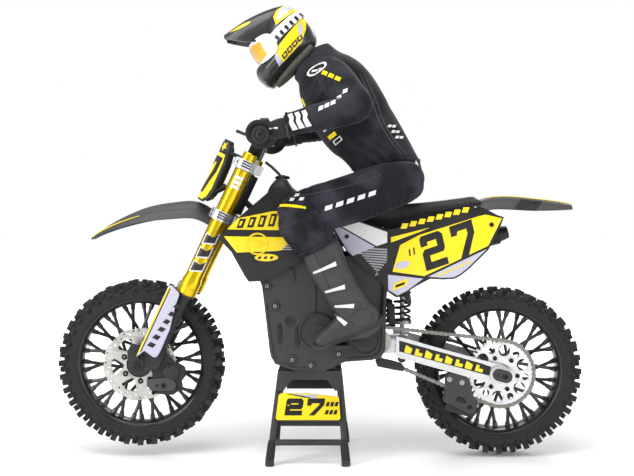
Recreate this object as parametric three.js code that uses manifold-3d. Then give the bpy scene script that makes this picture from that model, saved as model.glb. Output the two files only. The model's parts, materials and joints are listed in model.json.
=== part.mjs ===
// Quarter-scale electric motocross bike with its rider figure, on a bench stand.
// Millimetres, +Z up, +X towards the rear wheel. The origin is on the ground under the middle.
import * as THREE from 'three';
import { mergeVertices } from 'three/addons/utils/BufferGeometryUtils.js';
import Module from 'manifold-3d';

const wasm = await Module();
wasm.setup();

// ---- Driving dimensions -------------------------------------------------------------------
const GAP = 0.3; // between pieces that touch
const RUNNING_GAP = 0.5; // round a shaft or a tube that turns or slides
const TYRE_RADIUS = 86.5;
const FRONT_TYRE_WIDTH = 27;
const REAR_TYRE_WIDTH = 34;
const RIM_RADIUS = 69;
const RIM_DEPTH = 7;
const SPOKES = 24;
const HUB_RADIUS = 9;
const AXLE_RADIUS = 3;
const HEAD = new THREE.Vector3(-93.58, 0, 245.91); // middle of the lower clamp, on the steering axis
const RAKE = THREE.MathUtils.degToRad(25);
const FORK_LENGTH = 174.5; // axle to lower clamp, along the steering axis
const AXLE_LEAD = 13.5; // axle ahead of the fork tubes
const CLAMP_OFFSET = 6; // fork tubes ahead of the steering axis
const CLAMP_SPACING = 57;
const CLAMP_THICKNESS = 10;
const FORK_HALF_SPACING = 27;
const FORK_TUBE_RADIUS = 9;
const FORK_TOP_RADIUS = 7;
const STANCHION_RADIUS = 5.8;
const STEM_RADIUS = 4;
const BAR_RADIUS = 3.2;
const BAR_HALF_WIDTH = 100;
const BRAKE_DISC_RADIUS = 38;
const CASE_HALF_WIDTH = 34.3; // outer face of the chassis side plates
const PLATE_THICKNESS = 3;
const PIVOT = { x: 60, z: 120.5 };
const rearAxle = new THREE.Vector3(185, 0, 88.2);
const CHAIN_PITCH = 4.8;
const REAR_TEETH = 44;
const DRIVE_TEETH = 20;
const CHAIN_WIDTH = 4.4;
const CHAIN_HEIGHT = 3.6;
const CHAIN_Y = -27;
const ARM_THICKNESS = 3.8;
const SHOCK_X = 86;
const SEAT_HALF_WIDTH = 17;
const PANEL_Y = 36; // inner face of the side panels
const PANEL_THICKNESS = 1.8;
const STAND_TOP = 91.6;
const STAND_LENGTH = 64;
const STAND_HALF_WIDTH = 33;
const STAND_SHEET = 3;
const STAND_TUBE_RADIUS = 3.2;
const STAND_FOOT_SPREAD = 50;
const LEG_Y = 57; // middle of the rider's legs

// The front axle hangs below and ahead of the head, so the wheelbase is 370.
const backOfAxle = CLAMP_OFFSET + AXLE_LEAD;
const acrossBike = new THREE.Vector3(0, 1, 0);
const frontAxle = new THREE.Vector3(-backOfAxle, 0, -FORK_LENGTH).applyAxisAngle(acrossBike, RAKE).add(HEAD);

// ---- Making solids ------------------------------------------------------------------------
function volumeOf(geometry) {
  const p = geometry.getAttribute('position');
  const index = geometry.getIndex();
  const [a, b, c] = [new THREE.Vector3(), new THREE.Vector3(), new THREE.Vector3()];
  let sum = 0;
  for (let i = 0; i < index.count; i += 3) {
    a.fromBufferAttribute(p, index.getX(i));
    b.fromBufferAttribute(p, index.getX(i + 1));
    c.fromBufferAttribute(p, index.getX(i + 2));
    sum += a.dot(b.cross(c)) / 6;
  }
  return sum;
}

// One closed surface with shared corners and its faces pointing out.
function closed(geometry) {
  const bare = geometry.clone();
  bare.deleteAttribute('normal');
  bare.deleteAttribute('uv');
  const merged = mergeVertices(bare, 1e-4);
  if (volumeOf(merged) < 0) {
    merged.setIndex(Array.from(merged.getIndex().array).reverse());
  }
  return merged;
}

function toSolid(geometry) {
  const g = closed(geometry);
  const vertProperties = new Float32Array(g.getAttribute('position').array);
  const triVerts = new Uint32Array(g.getIndex().array);
  return new wasm.Manifold(new wasm.Mesh({ numProp: 3, vertProperties, triVerts }));
}

function fromSolid(solid) {
  const mesh = solid.getMesh();
  const geometry = new THREE.BufferGeometry();
  geometry.setAttribute('position', new THREE.BufferAttribute(new Float32Array(mesh.vertProperties), 3));
  geometry.setIndex(new THREE.BufferAttribute(new Uint32Array(mesh.triVerts), 1));
  return geometry;
}

function join(...pieces) {
  return fromSolid(pieces.map(toSolid).reduce((sum, piece) => sum.add(piece)));
}

function cut(body, ...tools) {
  return fromSolid(tools.map(toSolid).reduce((left, tool) => left.subtract(tool), toSolid(body)));
}

const point = (x, y, z) => new THREE.Vector3(x, y, z);

// A round bar from a to b, tapering from one radius to the other.
function rod(a, b, radius, sides = 12, endRadius = radius) {
  const along = b.clone().sub(a);
  const geometry = new THREE.CylinderGeometry(endRadius, radius, along.length(), sides);
  const turn = new THREE.Quaternion().setFromUnitVectors(point(0, 1, 0), along.clone().normalize());
  geometry.applyQuaternion(turn);
  return geometry.translate(...a.clone().add(b).multiplyScalar(0.5));
}

function ball(centre, radius, sides = 10) {
  return new THREE.SphereGeometry(radius, sides, sides / 2).translate(...centre);
}

// A bar bent at each of its points, mitred at the bends.
function bentRod(points, radius, sides = 8) {
  const headings = points.slice(1).map((p, i) => p.clone().sub(points[i]).normalize());
  const across = headings[0].clone().cross(point(0.3, 0.2, 0.93)).normalize();
  const up = headings[0].clone().cross(across);
  let ring = Array.from({ length: sides }, (_, i) => {
    const turn = (2 * Math.PI * i) / sides;
    return points[0].clone()
      .addScaledVector(across, radius * Math.cos(turn))
      .addScaledVector(up, radius * Math.sin(turn));
  });
  const rings = [ring];
  headings.forEach((heading, i) => {
    const mitre = heading.clone().add(headings[i + 1] ?? heading);
    ring = ring.map((p) => {
      const travel = points[i + 1].clone().sub(p).dot(mitre) / heading.dot(mitre);
      return p.clone().addScaledVector(heading, travel);
    });
    rings.push(ring);
  });
  return surface(rings, fanCap(sides));
}

// A disc or boss across the bike, centred at x and z.
function disc(x, z, radius, y0, y1, sides = 24) {
  return rod(point(x, y0, z), point(x, y1, z), radius, sides);
}

function box(x0, x1, y0, y1, z0, z1) {
  const geometry = new THREE.BoxGeometry(x1 - x0, y1 - y0, z1 - z0);
  return geometry.translate((x0 + x1) / 2, (y0 + y1) / 2, (z0 + z1) / 2);
}

// A side-view outline of [x, z] points, given its thickness from y0 to y1.
function plate(outline, y0, y1) {
  const shape = new THREE.Shape(outline.map(([x, z]) => new THREE.Vector2(x, z)));
  const geometry = new THREE.ExtrudeGeometry(shape, { depth: y1 - y0, bevelEnabled: false, curveSegments: 6 });
  return geometry.rotateX(Math.PI / 2).translate(0, y1, 0);
}

// A closed [radius, y] profile turned about the axle line.
function turned(profile, sides = 36) {
  const points = [...profile, profile[0]].map(([r, y]) => new THREE.Vector2(r, y));
  return new THREE.LatheGeometry(points, sides);
}

const fanCap = (sides) => Array.from({ length: sides - 2 }, (_, i) => [0, i + 1, i + 2]);

// Rings of points joined into one closed skin, with the same cap triangles at both ends.
function surface(rings, caps) {
  const n = rings[0].length;
  const positions = rings.flat().flatMap((p) => [p.x, p.y, p.z]);
  const index = [];
  for (let i = 0; i + 1 < rings.length; i += 1) {
    for (let j = 0; j < n; j += 1) {
      const [a, b] = [i * n + j, i * n + ((j + 1) % n)];
      index.push(a, b, b + n, a, b + n, a + n);
    }
  }
  const last = (rings.length - 1) * n;
  caps.forEach(([a, b, c]) => index.push(a, c, b, last + a, last + b, last + c));
  const geometry = new THREE.BufferGeometry();
  geometry.setAttribute('position', new THREE.Float32BufferAttribute(positions, 3));
  geometry.setIndex(index);
  return geometry;
}

// Oval rings joined in order: each is centred at x, y, z, reaches `deep` along a line tilted
// from +X towards +Z, and `wide` across the bike.
function loft(stations, sides = 12, grow = 0) {
  const rings = stations.map(({ x, y = 0, z, deep, wide, tilt = 0 }) => {
    const lean = THREE.MathUtils.degToRad(tilt);
    return Array.from({ length: sides }, (_, i) => {
      const turn = (2 * Math.PI * i) / sides;
      const reach = (deep + grow) * Math.cos(turn);
      return point(x + reach * Math.cos(lean), y + (wide + grow) * Math.sin(turn), z + reach * Math.sin(lean));
    });
  });
  return surface(rings, fanCap(sides));
}

// A thin arched sheet: each station has its x, crown height, half width, side drop and thickness.
function archedSheet(stations, steps = 6) {
  const rings = stations.map(({ x, z, wide, drop, thick }) => {
    const across = Array.from({ length: steps + 1 }, (_, i) => -1 + (2 * i) / steps);
    const outer = across.map((s) => point(x, s * wide, z - drop * s * s));
    const inner = across.map((s) => point(x, s * (wide - thick), z - thick - drop * s * s)).reverse();
    return [...outer, ...inner];
  });
  const count = 2 * (steps + 1);
  const strip = Array.from({ length: steps }, (_, i) => [
    [i, i + 1, count - 2 - i],
    [i, count - 2 - i, count - 1 - i],
  ]).flat();
  return surface(rings, strip);
}

const mirrored = (geometry) => closed(geometry.clone().scale(1, -1, 1));

// ---- Materials ----------------------------------------------------------------------------
function finish(color, roughness, metalness = 0) {
  return new THREE.MeshStandardMaterial({ color, roughness, metalness, flatShading: true });
}
const darkPlastic = finish(0x2b2c2f, 0.55);
const blackPlastic = finish(0x16161a, 0.5);
const yellowPlastic = finish(0xe8dc2a, 0.35);
const greyPlastic = finish(0x5b5a58, 0.5);
const whitePlastic = finish(0xe9e9ee, 0.4);
const goldAnodised = finish(0xb98f3a, 0.35, 0.9);
const silverMetal = finish(0xb9bcc2, 0.35, 0.9);
const steel = finish(0x8d9096, 0.35, 1);
const blackMetal = finish(0x1b1b1e, 0.45, 0.6);
const tyreRubber = finish(0x1a1a1b, 0.9);
const cloth = finish(0x4a4a50, 0.85);
const whiteCloth = finish(0xdcdce2, 0.8);
const seatVinyl = finish(0x232326, 0.7);
const helmetShell = finish(0xd9d9df, 0.25);

function add(parent, name, geometry, material) {
  const mesh = new THREE.Mesh(closed(geometry), material);
  mesh.name = name;
  parent.add(mesh);
  return mesh;
}

const bike = new THREE.Group();
const sideNames = [['left', -1], ['right', 1]];

// ---- Wheels -------------------------------------------------------------------------------
const BEAD_RADIUS = RIM_RADIUS - 4;
const LIP = 1.6;

function tyre(width) {
  const bead = width * 0.36;
  const half = width / 2;
  const wall = TYRE_RADIUS - RIM_RADIUS;
  const side = [
    [BEAD_RADIUS, bead],
    [RIM_RADIUS + GAP, bead],
    [RIM_RADIUS + 2 * GAP, half * 0.85],
    [RIM_RADIUS + wall * 0.45, half],
    [RIM_RADIUS + wall * 0.78, half * 0.92],
    [TYRE_RADIUS, half * 0.5],
  ];
  return turned([...side, ...side.map(([r, y]) => [r, -y]).reverse()]);
}

function rim(width, hubHalf) {
  const seat = width * 0.36 + GAP;
  const ring = turned([
    [RIM_RADIUS - RIM_DEPTH, -seat * 0.6],
    [RIM_RADIUS, -seat - LIP],
    [RIM_RADIUS, -seat],
    [BEAD_RADIUS - GAP, -seat],
    [BEAD_RADIUS - GAP, seat],
    [RIM_RADIUS, seat],
    [RIM_RADIUS, seat + LIP],
    [RIM_RADIUS - RIM_DEPTH, seat * 0.6],
  ]);
  const flange = HUB_RADIUS + 4;
  const hub = join(
    disc(0, 0, HUB_RADIUS, -hubHalf, hubHalf, 12),
    disc(0, 0, flange, -hubHalf, -hubHalf + 2.5, 12),
    disc(0, 0, flange, hubHalf - 2.5, hubHalf, 12),
  );
  const lean = Math.PI / 14;
  const spokes = Array.from({ length: SPOKES }, (_, i) => {
    const side = i % 2 ? 1 : -1;
    const turn = (2 * Math.PI * (i + 0.5)) / SPOKES;
    const foot = turn + lean * (i % 4 < 2 ? 1 : -1);
    const inner = flange - 2;
    const outer = RIM_RADIUS - RIM_DEPTH + 1.5;
    const from = point(inner * Math.cos(foot), side * (hubHalf - 1.4), inner * Math.sin(foot));
    const to = point(outer * Math.cos(turn), side * seat * 0.2, outer * Math.sin(turn));
    return rod(from, to, 1.7, 3);
  });
  return cut(join(ring, hub, ...spokes), disc(0, 0, AXLE_RADIUS + RUNNING_GAP, -40, 40, 12));
}

const FRONT_HUB_HALF = 13;
const REAR_HUB_HALF = 15;
const frontWheel = new THREE.Group();
frontWheel.position.copy(frontAxle);
bike.add(frontWheel);
add(frontWheel, 'front_tyre', tyre(FRONT_TYRE_WIDTH), tyreRubber);
add(frontWheel, 'front_rim', rim(FRONT_TYRE_WIDTH, FRONT_HUB_HALF), blackPlastic);

// Drilled disc: an outer band on six arms from a screwed centre.
const DISC_Y = -17.5;
const DISC_HALF = 0.7;
function brakeDisc() {
  const shape = new THREE.Shape().absarc(0, 0, BRAKE_DISC_RADIUS, 0, 2 * Math.PI);
  const bore = new THREE.Path().absarc(0, 0, HUB_RADIUS - 2, 0, 2 * Math.PI);
  shape.holes.push(bore);
  const [inner, outer] = [BRAKE_DISC_RADIUS - 16, BRAKE_DISC_RADIUS - 9];
  for (let i = 0; i < 6; i += 1) {
    const [from, to] = [(i * Math.PI) / 3 + 0.1, ((i + 1) * Math.PI) / 3 - 0.1];
    const turns = [0, 1, 2, 3].map((step) => from + ((to - from) * step) / 3);
    const edge = [...turns.map((t) => [outer, t]), ...turns.reverse().map((t) => [inner, t])];
    shape.holes.push(new THREE.Path(edge.map(([r, t]) => new THREE.Vector2(r * Math.cos(t), r * Math.sin(t)))));
  }
  const sheet = new THREE.ExtrudeGeometry(shape, { depth: 2 * DISC_HALF, bevelEnabled: false, curveSegments: 10 });
  sheet.rotateX(Math.PI / 2).translate(0, DISC_Y + DISC_HALF, 0);
  const boss = cut(
    disc(0, 0, HUB_RADIUS + 2, DISC_Y, -FRONT_HUB_HALF - GAP, 20),
    disc(0, 0, HUB_RADIUS - 2, -40, 40, 20),
  );
  return join(sheet, boss);
}
add(frontWheel, 'front_brake_disc', brakeDisc(), steel);

const rearWheel = new THREE.Group();
rearWheel.position.copy(rearAxle);
bike.add(rearWheel);
add(rearWheel, 'rear_tyre', tyre(REAR_TYRE_WIDTH), tyreRubber);
add(rearWheel, 'rear_rim', rim(REAR_TYRE_WIDTH, REAR_HUB_HALF), blackPlastic);

const pitchRadius = (teeth) => CHAIN_PITCH / (2 * Math.sin(Math.PI / teeth));
const rearPitch = pitchRadius(REAR_TEETH);
const drivePitch = pitchRadius(DRIVE_TEETH);
const sprocketRadius = (pitch) => pitch - CHAIN_HEIGHT / 2 - GAP;
const SPROCKET_HALF = 1.2;
function rearSprocket() {
  const holes = Array.from({ length: 6 }, (_, i) => {
    const turn = (i * Math.PI) / 3;
    return disc(23 * Math.cos(turn), 23 * Math.sin(turn), 5, -40, 0, 10);
  });
  return cut(
    join(
      disc(0, 0, sprocketRadius(rearPitch), CHAIN_Y - SPROCKET_HALF, CHAIN_Y + SPROCKET_HALF, 44),
      disc(0, 0, HUB_RADIUS + 5, CHAIN_Y, -REAR_HUB_HALF - GAP, 20),
    ),
    disc(0, 0, AXLE_RADIUS + RUNNING_GAP, -40, 40, 20),
    ...holes,
  );
}
add(rearWheel, 'rear_sprocket', rearSprocket(), silverMetal);

// ---- Steering: everything here is set out about the raked steering axis ----------------------
const steering = new THREE.Group();
steering.rotation.y = RAKE;
steering.position.copy(HEAD);
bike.add(steering);

const COLLAR_BOTTOM = -87.5;
const COLLAR_TOP = -68;
const halfClamp = CLAMP_THICKNESS / 2;
const tubeTop = CLAMP_SPACING + CLAMP_THICKNESS + 3;

function forkTube() {
  const outside = [
    [0, tubeTop],
    [FORK_TOP_RADIUS, tubeTop],
    [FORK_TOP_RADIUS, halfClamp + 6],
    [FORK_TUBE_RADIUS, halfClamp + 2],
    [FORK_TUBE_RADIUS, COLLAR_TOP],
    [FORK_TUBE_RADIUS + 1, COLLAR_TOP],
    [FORK_TUBE_RADIUS + 1, COLLAR_BOTTOM],
    [STANCHION_RADIUS + RUNNING_GAP, COLLAR_BOTTOM],
    [STANCHION_RADIUS + RUNNING_GAP, -8],
    [0, -8],
  ];
  const tube = new THREE.LatheGeometry(outside.map(([r, h]) => new THREE.Vector2(r, h)), 20);
  return tube.rotateX(Math.PI / 2);
}

// A clamp gripping both fork tubes, its outline narrowing round each tube.
function clamp(bottom, top, gripRadius, tubeRadius) {
  const waist = box(-CLAMP_OFFSET - 6, 8, -FORK_HALF_SPACING, FORK_HALF_SPACING, bottom, top);
  const grips = sideNames.map(([, side]) => {
    const y = side * FORK_HALF_SPACING;
    return rod(point(-CLAMP_OFFSET, y, bottom), point(-CLAMP_OFFSET, y, top), gripRadius, 20);
  });
  const bores = sideNames.map(([, side]) => {
    const y = side * FORK_HALF_SPACING;
    return rod(point(-CLAMP_OFFSET, y, bottom - 1), point(-CLAMP_OFFSET, y, top + 1), tubeRadius + GAP, 20);
  });
  return cut(join(waist, ...grips), ...bores);
}

const upperBottom = CLAMP_SPACING - halfClamp;
const upperTop = CLAMP_SPACING + halfClamp;
const stem = rod(point(0, 0, 0), point(0, 0, upperBottom - GAP), STEM_RADIUS, 16);
const lowerClamp = join(clamp(-halfClamp, halfClamp, FORK_TUBE_RADIUS + 3.2, FORK_TUBE_RADIUS), stem);
add(steering, 'lower_clamp', lowerClamp, silverMetal);

// Handlebar: low and straight in the clamp, rising to the grips.
const BAR_HEIGHT = upperTop + 13;
const GRIP_HEIGHT = BAR_HEIGHT + 14;
const barPoints = [
  [1, -BAR_HALF_WIDTH, GRIP_HEIGHT + 1],
  [-2, -46, GRIP_HEIGHT - 1],
  [-4, -20, BAR_HEIGHT],
  [-4, 20, BAR_HEIGHT],
  [-2, 46, GRIP_HEIGHT - 1],
  [1, BAR_HALF_WIDTH, GRIP_HEIGHT + 1],
].map((p) => point(...p));
const lever = (side) => join(
  bentRod([
    point(-1, side * 57, GRIP_HEIGHT),
    point(-16, side * 60, GRIP_HEIGHT - 4),
    point(-21, side * 92, GRIP_HEIGHT - 5),
  ], 1.6, 6),
  rod(point(-2, side * 54, GRIP_HEIGHT), point(-2, side * 60, GRIP_HEIGHT), BAR_RADIUS + 1.5, 10),
);
add(steering, 'handlebar', join(bentRod(barPoints, BAR_RADIUS, 10), lever(-1), lever(1)), blackMetal);

const barGrips = [-12, 12].map((y) => box(-11, 3, y - 5, y + 5, upperTop - 1, BAR_HEIGHT + 6));
const upperClamp = cut(
  join(clamp(upperBottom, upperTop, FORK_TOP_RADIUS + 3.4, FORK_TOP_RADIUS), ...barGrips),
  bentRod(barPoints, BAR_RADIUS + GAP, 12),
);
add(steering, 'upper_clamp', upperClamp, silverMetal);

for (const [name, side] of sideNames) {
  const tube = forkTube().translate(-CLAMP_OFFSET, side * FORK_HALF_SPACING, 0);
  add(steering, `fork_tube_${name}`, tube, goldAnodised);
}

// Number plate wrapped round the front of the forks, in front of the bar.
const PLATE_FRONT = -39;
const NUMBER_PLATE_HALF = 27;
function numberPlate() {
  const wrap = (inset) => (s) => [PLATE_FRONT + inset + 13 * s * s, s * (NUMBER_PLATE_HALF - inset)];
  const across = Array.from({ length: 9 }, (_, i) => -1 + i / 4);
  const outline = [...across.map(wrap(0)), ...across.map(wrap(PANEL_THICKNESS)).reverse()];
  const shape = new THREE.Shape(outline.map(([x, y]) => new THREE.Vector2(x, y)));
  const face = new THREE.ExtrudeGeometry(shape, { depth: 68, bevelEnabled: false });
  return face.translate(0, 0, halfClamp);
}
add(steering, 'front_number_plate', numberPlate(), yellowPlastic);

const gloveCentre = (side) => point(7, side * 82, GRIP_HEIGHT + 2);
function glove(side) {
  const c = gloveCentre(side);
  const hand = join(
    new THREE.SphereGeometry(1, 10, 6).scale(18, 17, 12).translate(...c),
    box(c.x - 13, c.x + 15, c.y - 14, c.y + 14, c.z - 8, c.z + 9),
  );
  const grip = bentRod(barPoints, BAR_RADIUS + GAP, 12);
  return cut(hand, grip, lever(side), box(-50, -11.5, -200, 200, GRIP_HEIGHT - 20, GRIP_HEIGHT + 30));
}
for (const [name, side] of sideNames) {
  add(steering, `glove_${name}`, glove(side), cloth);
}

// ---- Fork lowers: they slide up inside the fork tubes ----------------------------------------
const axleLocal = point(-backOfAxle, 0, -FORK_LENGTH);
const LEG_BOTTOM = -FORK_LENGTH + 6;
const STANCHION_TOP = -60;
const FORK_AXLE_RADIUS = 3;
const LUG_RADIUS = 8.5;
const LUG_HALF = 6;
function forkLeg(side) {
  const y = side * FORK_HALF_SPACING;
  const lug = join(
    disc(axleLocal.x, axleLocal.z, LUG_RADIUS, y - LUG_HALF, y + LUG_HALF, 20),
    plate([
      [axleLocal.x - 6, axleLocal.z + 5],
      [axleLocal.x - 3, axleLocal.z + 17],
      [-CLAMP_OFFSET - 6, axleLocal.z + 30],
      [-CLAMP_OFFSET + 7, axleLocal.z + 26],
      [-CLAMP_OFFSET + 7, axleLocal.z + 8],
      [axleLocal.x + 5, axleLocal.z - 6],
    ], y - LUG_HALF, y + LUG_HALF),
  );
  const bar = rod(point(-CLAMP_OFFSET, y, LEG_BOTTOM), point(-CLAMP_OFFSET, y, STANCHION_TOP), STANCHION_RADIUS, 20);
  const bore = disc(axleLocal.x, axleLocal.z, FORK_AXLE_RADIUS + GAP, y - 20, y + 20, 20);
  return cut(join(lug, bar), bore);
}
for (const [name, side] of sideNames) {
  add(steering, `fork_leg_${name}`, forkLeg(side), blackMetal);
}
const axleEnd = FORK_HALF_SPACING + LUG_HALF + GAP;
function frontAxleRod() {
  return join(
    disc(axleLocal.x, axleLocal.z, FORK_AXLE_RADIUS, -axleEnd, axleEnd, 20),
    disc(axleLocal.x, axleLocal.z, FORK_AXLE_RADIUS + 2.4, -axleEnd - 2, -axleEnd, 6),
    disc(axleLocal.x, axleLocal.z, FORK_AXLE_RADIUS + 2.4, axleEnd, axleEnd + 2, 6),
  );
}
add(steering, 'front_axle', frontAxleRod(), steel);

// Guards wrap the front and the outside of each leg, clear of the fork tube.
const GUARD_BOTTOM = axleLocal.z + 34;
function forkGuard(side) {
  const out = FORK_HALF_SPACING + FORK_TUBE_RADIUS + 1 + 1.2;
  const ahead = -CLAMP_OFFSET - FORK_TUBE_RADIUS - 2.5;
  const height = COLLAR_BOTTOM + 2 - GUARD_BOTTOM;
  const walls = join(
    box(ahead - 1.6, ahead, FORK_HALF_SPACING - 6, out + 1.6, GUARD_BOTTOM, GUARD_BOTTOM + height),
    box(ahead - 1, -CLAMP_OFFSET + 3, out, out + 1.6, GUARD_BOTTOM, GUARD_BOTTOM + height),
  );
  return side < 0 ? mirrored(walls) : walls;
}
for (const [name, side] of sideNames) {
  add(steering, `fork_guard_${name}`, forkGuard(side), whitePlastic);
}

// Caliper astride the disc, behind the left leg and bolted to its lug.
function caliper() {
  const [inner, outer] = [-13.9, -FORK_HALF_SPACING + 2];
  const block = plate([
    [axleLocal.x + 20, axleLocal.z + 22],
    [axleLocal.x + 33, axleLocal.z + 20],
    [axleLocal.x + 46, axleLocal.z + 9],
    [axleLocal.x + 47, axleLocal.z - 2],
    [axleLocal.x + 38, axleLocal.z - 18],
    [axleLocal.x + 26, axleLocal.z - 20],
  ], outer, inner);
  const y = -FORK_HALF_SPACING;
  const legSpace = rod(point(-CLAMP_OFFSET, y, -220), point(-CLAMP_OFFSET, y, -60), STANCHION_RADIUS + 1.4, 16);
  const slot = disc(axleLocal.x, axleLocal.z, BRAKE_DISC_RADIUS + 1.5, DISC_Y - 1.4, DISC_Y + 1.4, 24);
  const lugSpace = box(-60, -CLAMP_OFFSET + 7 + GAP, y - 10, y + LUG_HALF + GAP, -260, -60);
  return cut(block, legSpace, slot, lugSpace);
}
add(steering, 'front_caliper', caliper(), blackMetal);

// ---- Front fender, screwed under the lower clamp ------------------------------------------
// Its stations are in the bike's own frame, because the crown line is nearly level.
const FENDER_THICKNESS = 1.8;
const frontFender = archedSheet([
  { x: -239, z: 221, wide: 7, drop: 2, thick: FENDER_THICKNESS },
  { x: -228, z: 230, wide: 13, drop: 4, thick: FENDER_THICKNESS },
  { x: -208, z: 243, wide: 16.5, drop: 8, thick: FENDER_THICKNESS },
  { x: -178, z: 254.5, wide: 18, drop: 13, thick: FENDER_THICKNESS },
  { x: -155, z: 259.5, wide: 17.5, drop: 15, thick: FENDER_THICKNESS },
  { x: -132, z: 258, wide: 16, drop: 13, thick: FENDER_THICKNESS },
  { x: -118.5, z: 252, wide: 14, drop: 12, thick: FENDER_THICKNESS },
]);
add(bike, 'front_fender', frontFender, darkPlastic);

// ---- Chassis ------------------------------------------------------------------------------
const chassisBottom = STAND_TOP + GAP;
const plateInner = CASE_HALF_WIDTH - PLATE_THICKNESS;
const SWING_PIN_RADIUS = 3;
const PEG = { x: 22, z: 119.5, radius: 3, reach: 70 };
const sidePlateOutline = [
  [-70, 208], [-58, 178], [-56, 163], [-50, 111], [-46, 103], [-39, 97], [-24, chassisBottom],
  [6, chassisBottom], [26, 101], [54, 103], [63, 106], [67, 113], [68, 163], [72, 208],
];
function sidePlate(side) {
  const [y0, y1] = side < 0 ? [-CASE_HALF_WIDTH, -plateInner] : [plateInner, CASE_HALF_WIDTH];
  const sheet = plate(sidePlateOutline, y0, y1);
  return cut(
    sheet,
    disc(PEG.x, PEG.z, PEG.radius + GAP, -50, 50, 16),
    disc(PIVOT.x, PIVOT.z, SWING_PIN_RADIUS + GAP, -50, 50, 16),
  );
}
for (const [name, side] of sideNames) {
  add(bike, `side_plate_${name}`, sidePlate(side), darkPlastic);
}

// Belly skid between the plates, resting on the stand.
const skid = box(-24, 6, -plateInner + GAP, plateInner - GAP, chassisBottom, chassisBottom + 3);
add(bike, 'skid_plate', skid, blackPlastic);

// Frame: head tube, two spars down to the case, and the seat rails behind.
const onAxis = (h, x = 0) => point(x, 0, h).applyAxisAngle(acrossBike, RAKE).add(HEAD);
const SPAR_Y = 16;
const RAIL_RADIUS = 3;
const SHOCK_TOP = 214;
function frame() {
  const head = rod(onAxis(halfClamp + 2), onAxis(upperBottom - 2), STEM_RADIUS + 5, 20);
  const bore = rod(onAxis(-40), onAxis(CLAMP_SPACING + 40), STEM_RADIUS + RUNNING_GAP, 20);
  const headPoint = onAxis((halfClamp + upperBottom) / 2 - 4);
  const spars = [-1, 1].map((side) => bentRod([
    headPoint,
    point(headPoint.x + 26, side * SPAR_Y, headPoint.z - 26),
    point(-4, side * SPAR_Y, 222),
    point(66, side * SPAR_Y, 216),
    point(166, side * 11, 242),
  ], RAIL_RADIUS, 6));
  const ties = [
    rod(point(SHOCK_X, -SPAR_Y, SHOCK_TOP + 7), point(SHOCK_X, SPAR_Y, SHOCK_TOP + 7), RAIL_RADIUS, 6),
    rod(point(164, -11, 241.5), point(164, 11, 241.5), RAIL_RADIUS, 6),
    rod(point(-40, -SPAR_Y, 235), point(-40, SPAR_Y, 235), RAIL_RADIUS, 6),
  ];
  return cut(join(head, ...spars, ...ties), bore);
}
add(bike, 'frame', frame(), blackMetal);

add(bike, 'swingarm_pin', disc(PIVOT.x, PIVOT.z, SWING_PIN_RADIUS, -CASE_HALF_WIDTH, CASE_HALF_WIDTH, 20), steel);

const GYRO = { x: -8, z: 132, radius: 26, half: 11 };
function gyroRotor() {
  const { radius, half } = GYRO;
  const rotor = turned([
    [3.6, -half - 4], [7, -half - 4], [7, -3], [radius - 8, -3], [radius - 8, -half], [radius, -half],
    [radius, half], [radius - 8, half], [radius - 8, 3], [7, 3], [7, half + 4], [3.6, half + 4],
  ], 20);
  return rotor.translate(GYRO.x, 0, GYRO.z);
}
add(bike, 'gyro_flywheel', gyroRotor(), steel);
const gyroShaft = disc(GYRO.x, GYRO.z, 3, -plateInner + GAP, plateInner - GAP, 20);
add(bike, 'gyro_shaft', gyroShaft, steel);

const MOTOR = { x: 36, z: 152, radius: 14, half: 19 };
const motor = join(
  disc(MOTOR.x, MOTOR.z, MOTOR.radius, -MOTOR.half, MOTOR.half, 20),
  disc(MOTOR.x, MOTOR.z, 2.5, -MOTOR.half - 9, -MOTOR.half, 10),
);
add(bike, 'motor', motor, steel);
add(bike, 'battery', box(-42, 44, -19, 19, 169, 196), blackPlastic);
add(bike, 'receiver_box', box(-20, 50, -11, 11, 197, 211), blackPlastic);
const SERVO = { x: -60, z: 196 };
const servo = join(
  box(SERVO.x + 4, SERVO.x + 16, -16, 16, 172, 196),
  disc(SERVO.x + 7, 197, 3.2, -4, 4, 12),
);
add(bike, 'steering_servo', servo, blackPlastic);

const DRIVE_BOSS = 8;
function driveSprocket() {
  return cut(
    join(
      disc(PIVOT.x, PIVOT.z, sprocketRadius(drivePitch), CHAIN_Y - SPROCKET_HALF, CHAIN_Y + SPROCKET_HALF, 24),
      disc(PIVOT.x, PIVOT.z, DRIVE_BOSS, -plateInner + RUNNING_GAP, CHAIN_Y + SPROCKET_HALF + 1.5, 20),
    ),
    disc(PIVOT.x, PIVOT.z, SWING_PIN_RADIUS + RUNNING_GAP, -50, 0, 20),
  );
}
add(bike, 'drive_sprocket', driveSprocket(), steel);

// Round covers screwed on the left side plate.
const coverY = -CASE_HALF_WIDTH - GAP;
const cover = (x, z, radius, thickness) => cut(
  join(
    disc(x, z, radius, coverY - thickness, coverY, 28),
    disc(x, z, radius * 0.45, coverY - thickness - 1, coverY, 20),
  ),
  disc(PEG.x, PEG.z, PEG.radius + GAP, -60, 0, 16),
);
add(bike, 'flywheel_cover', cover(-2, 132, 18.5, 2.4), darkPlastic);
add(bike, 'sprocket_cover', cover(46, 124.5, 16, 2.4), darkPlastic);

const footpegs = disc(PEG.x, PEG.z, PEG.radius, -PEG.reach, PEG.reach, 16);
const cleats = sideNames.map(([, side]) => box(
  PEG.x - 7, PEG.x + 7, side > 0 ? 45 : -PEG.reach, side > 0 ? PEG.reach : -45, PEG.z - 1.5, PEG.z + 3,
));
add(bike, 'footpegs', join(footpegs, ...cleats), steel);

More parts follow.
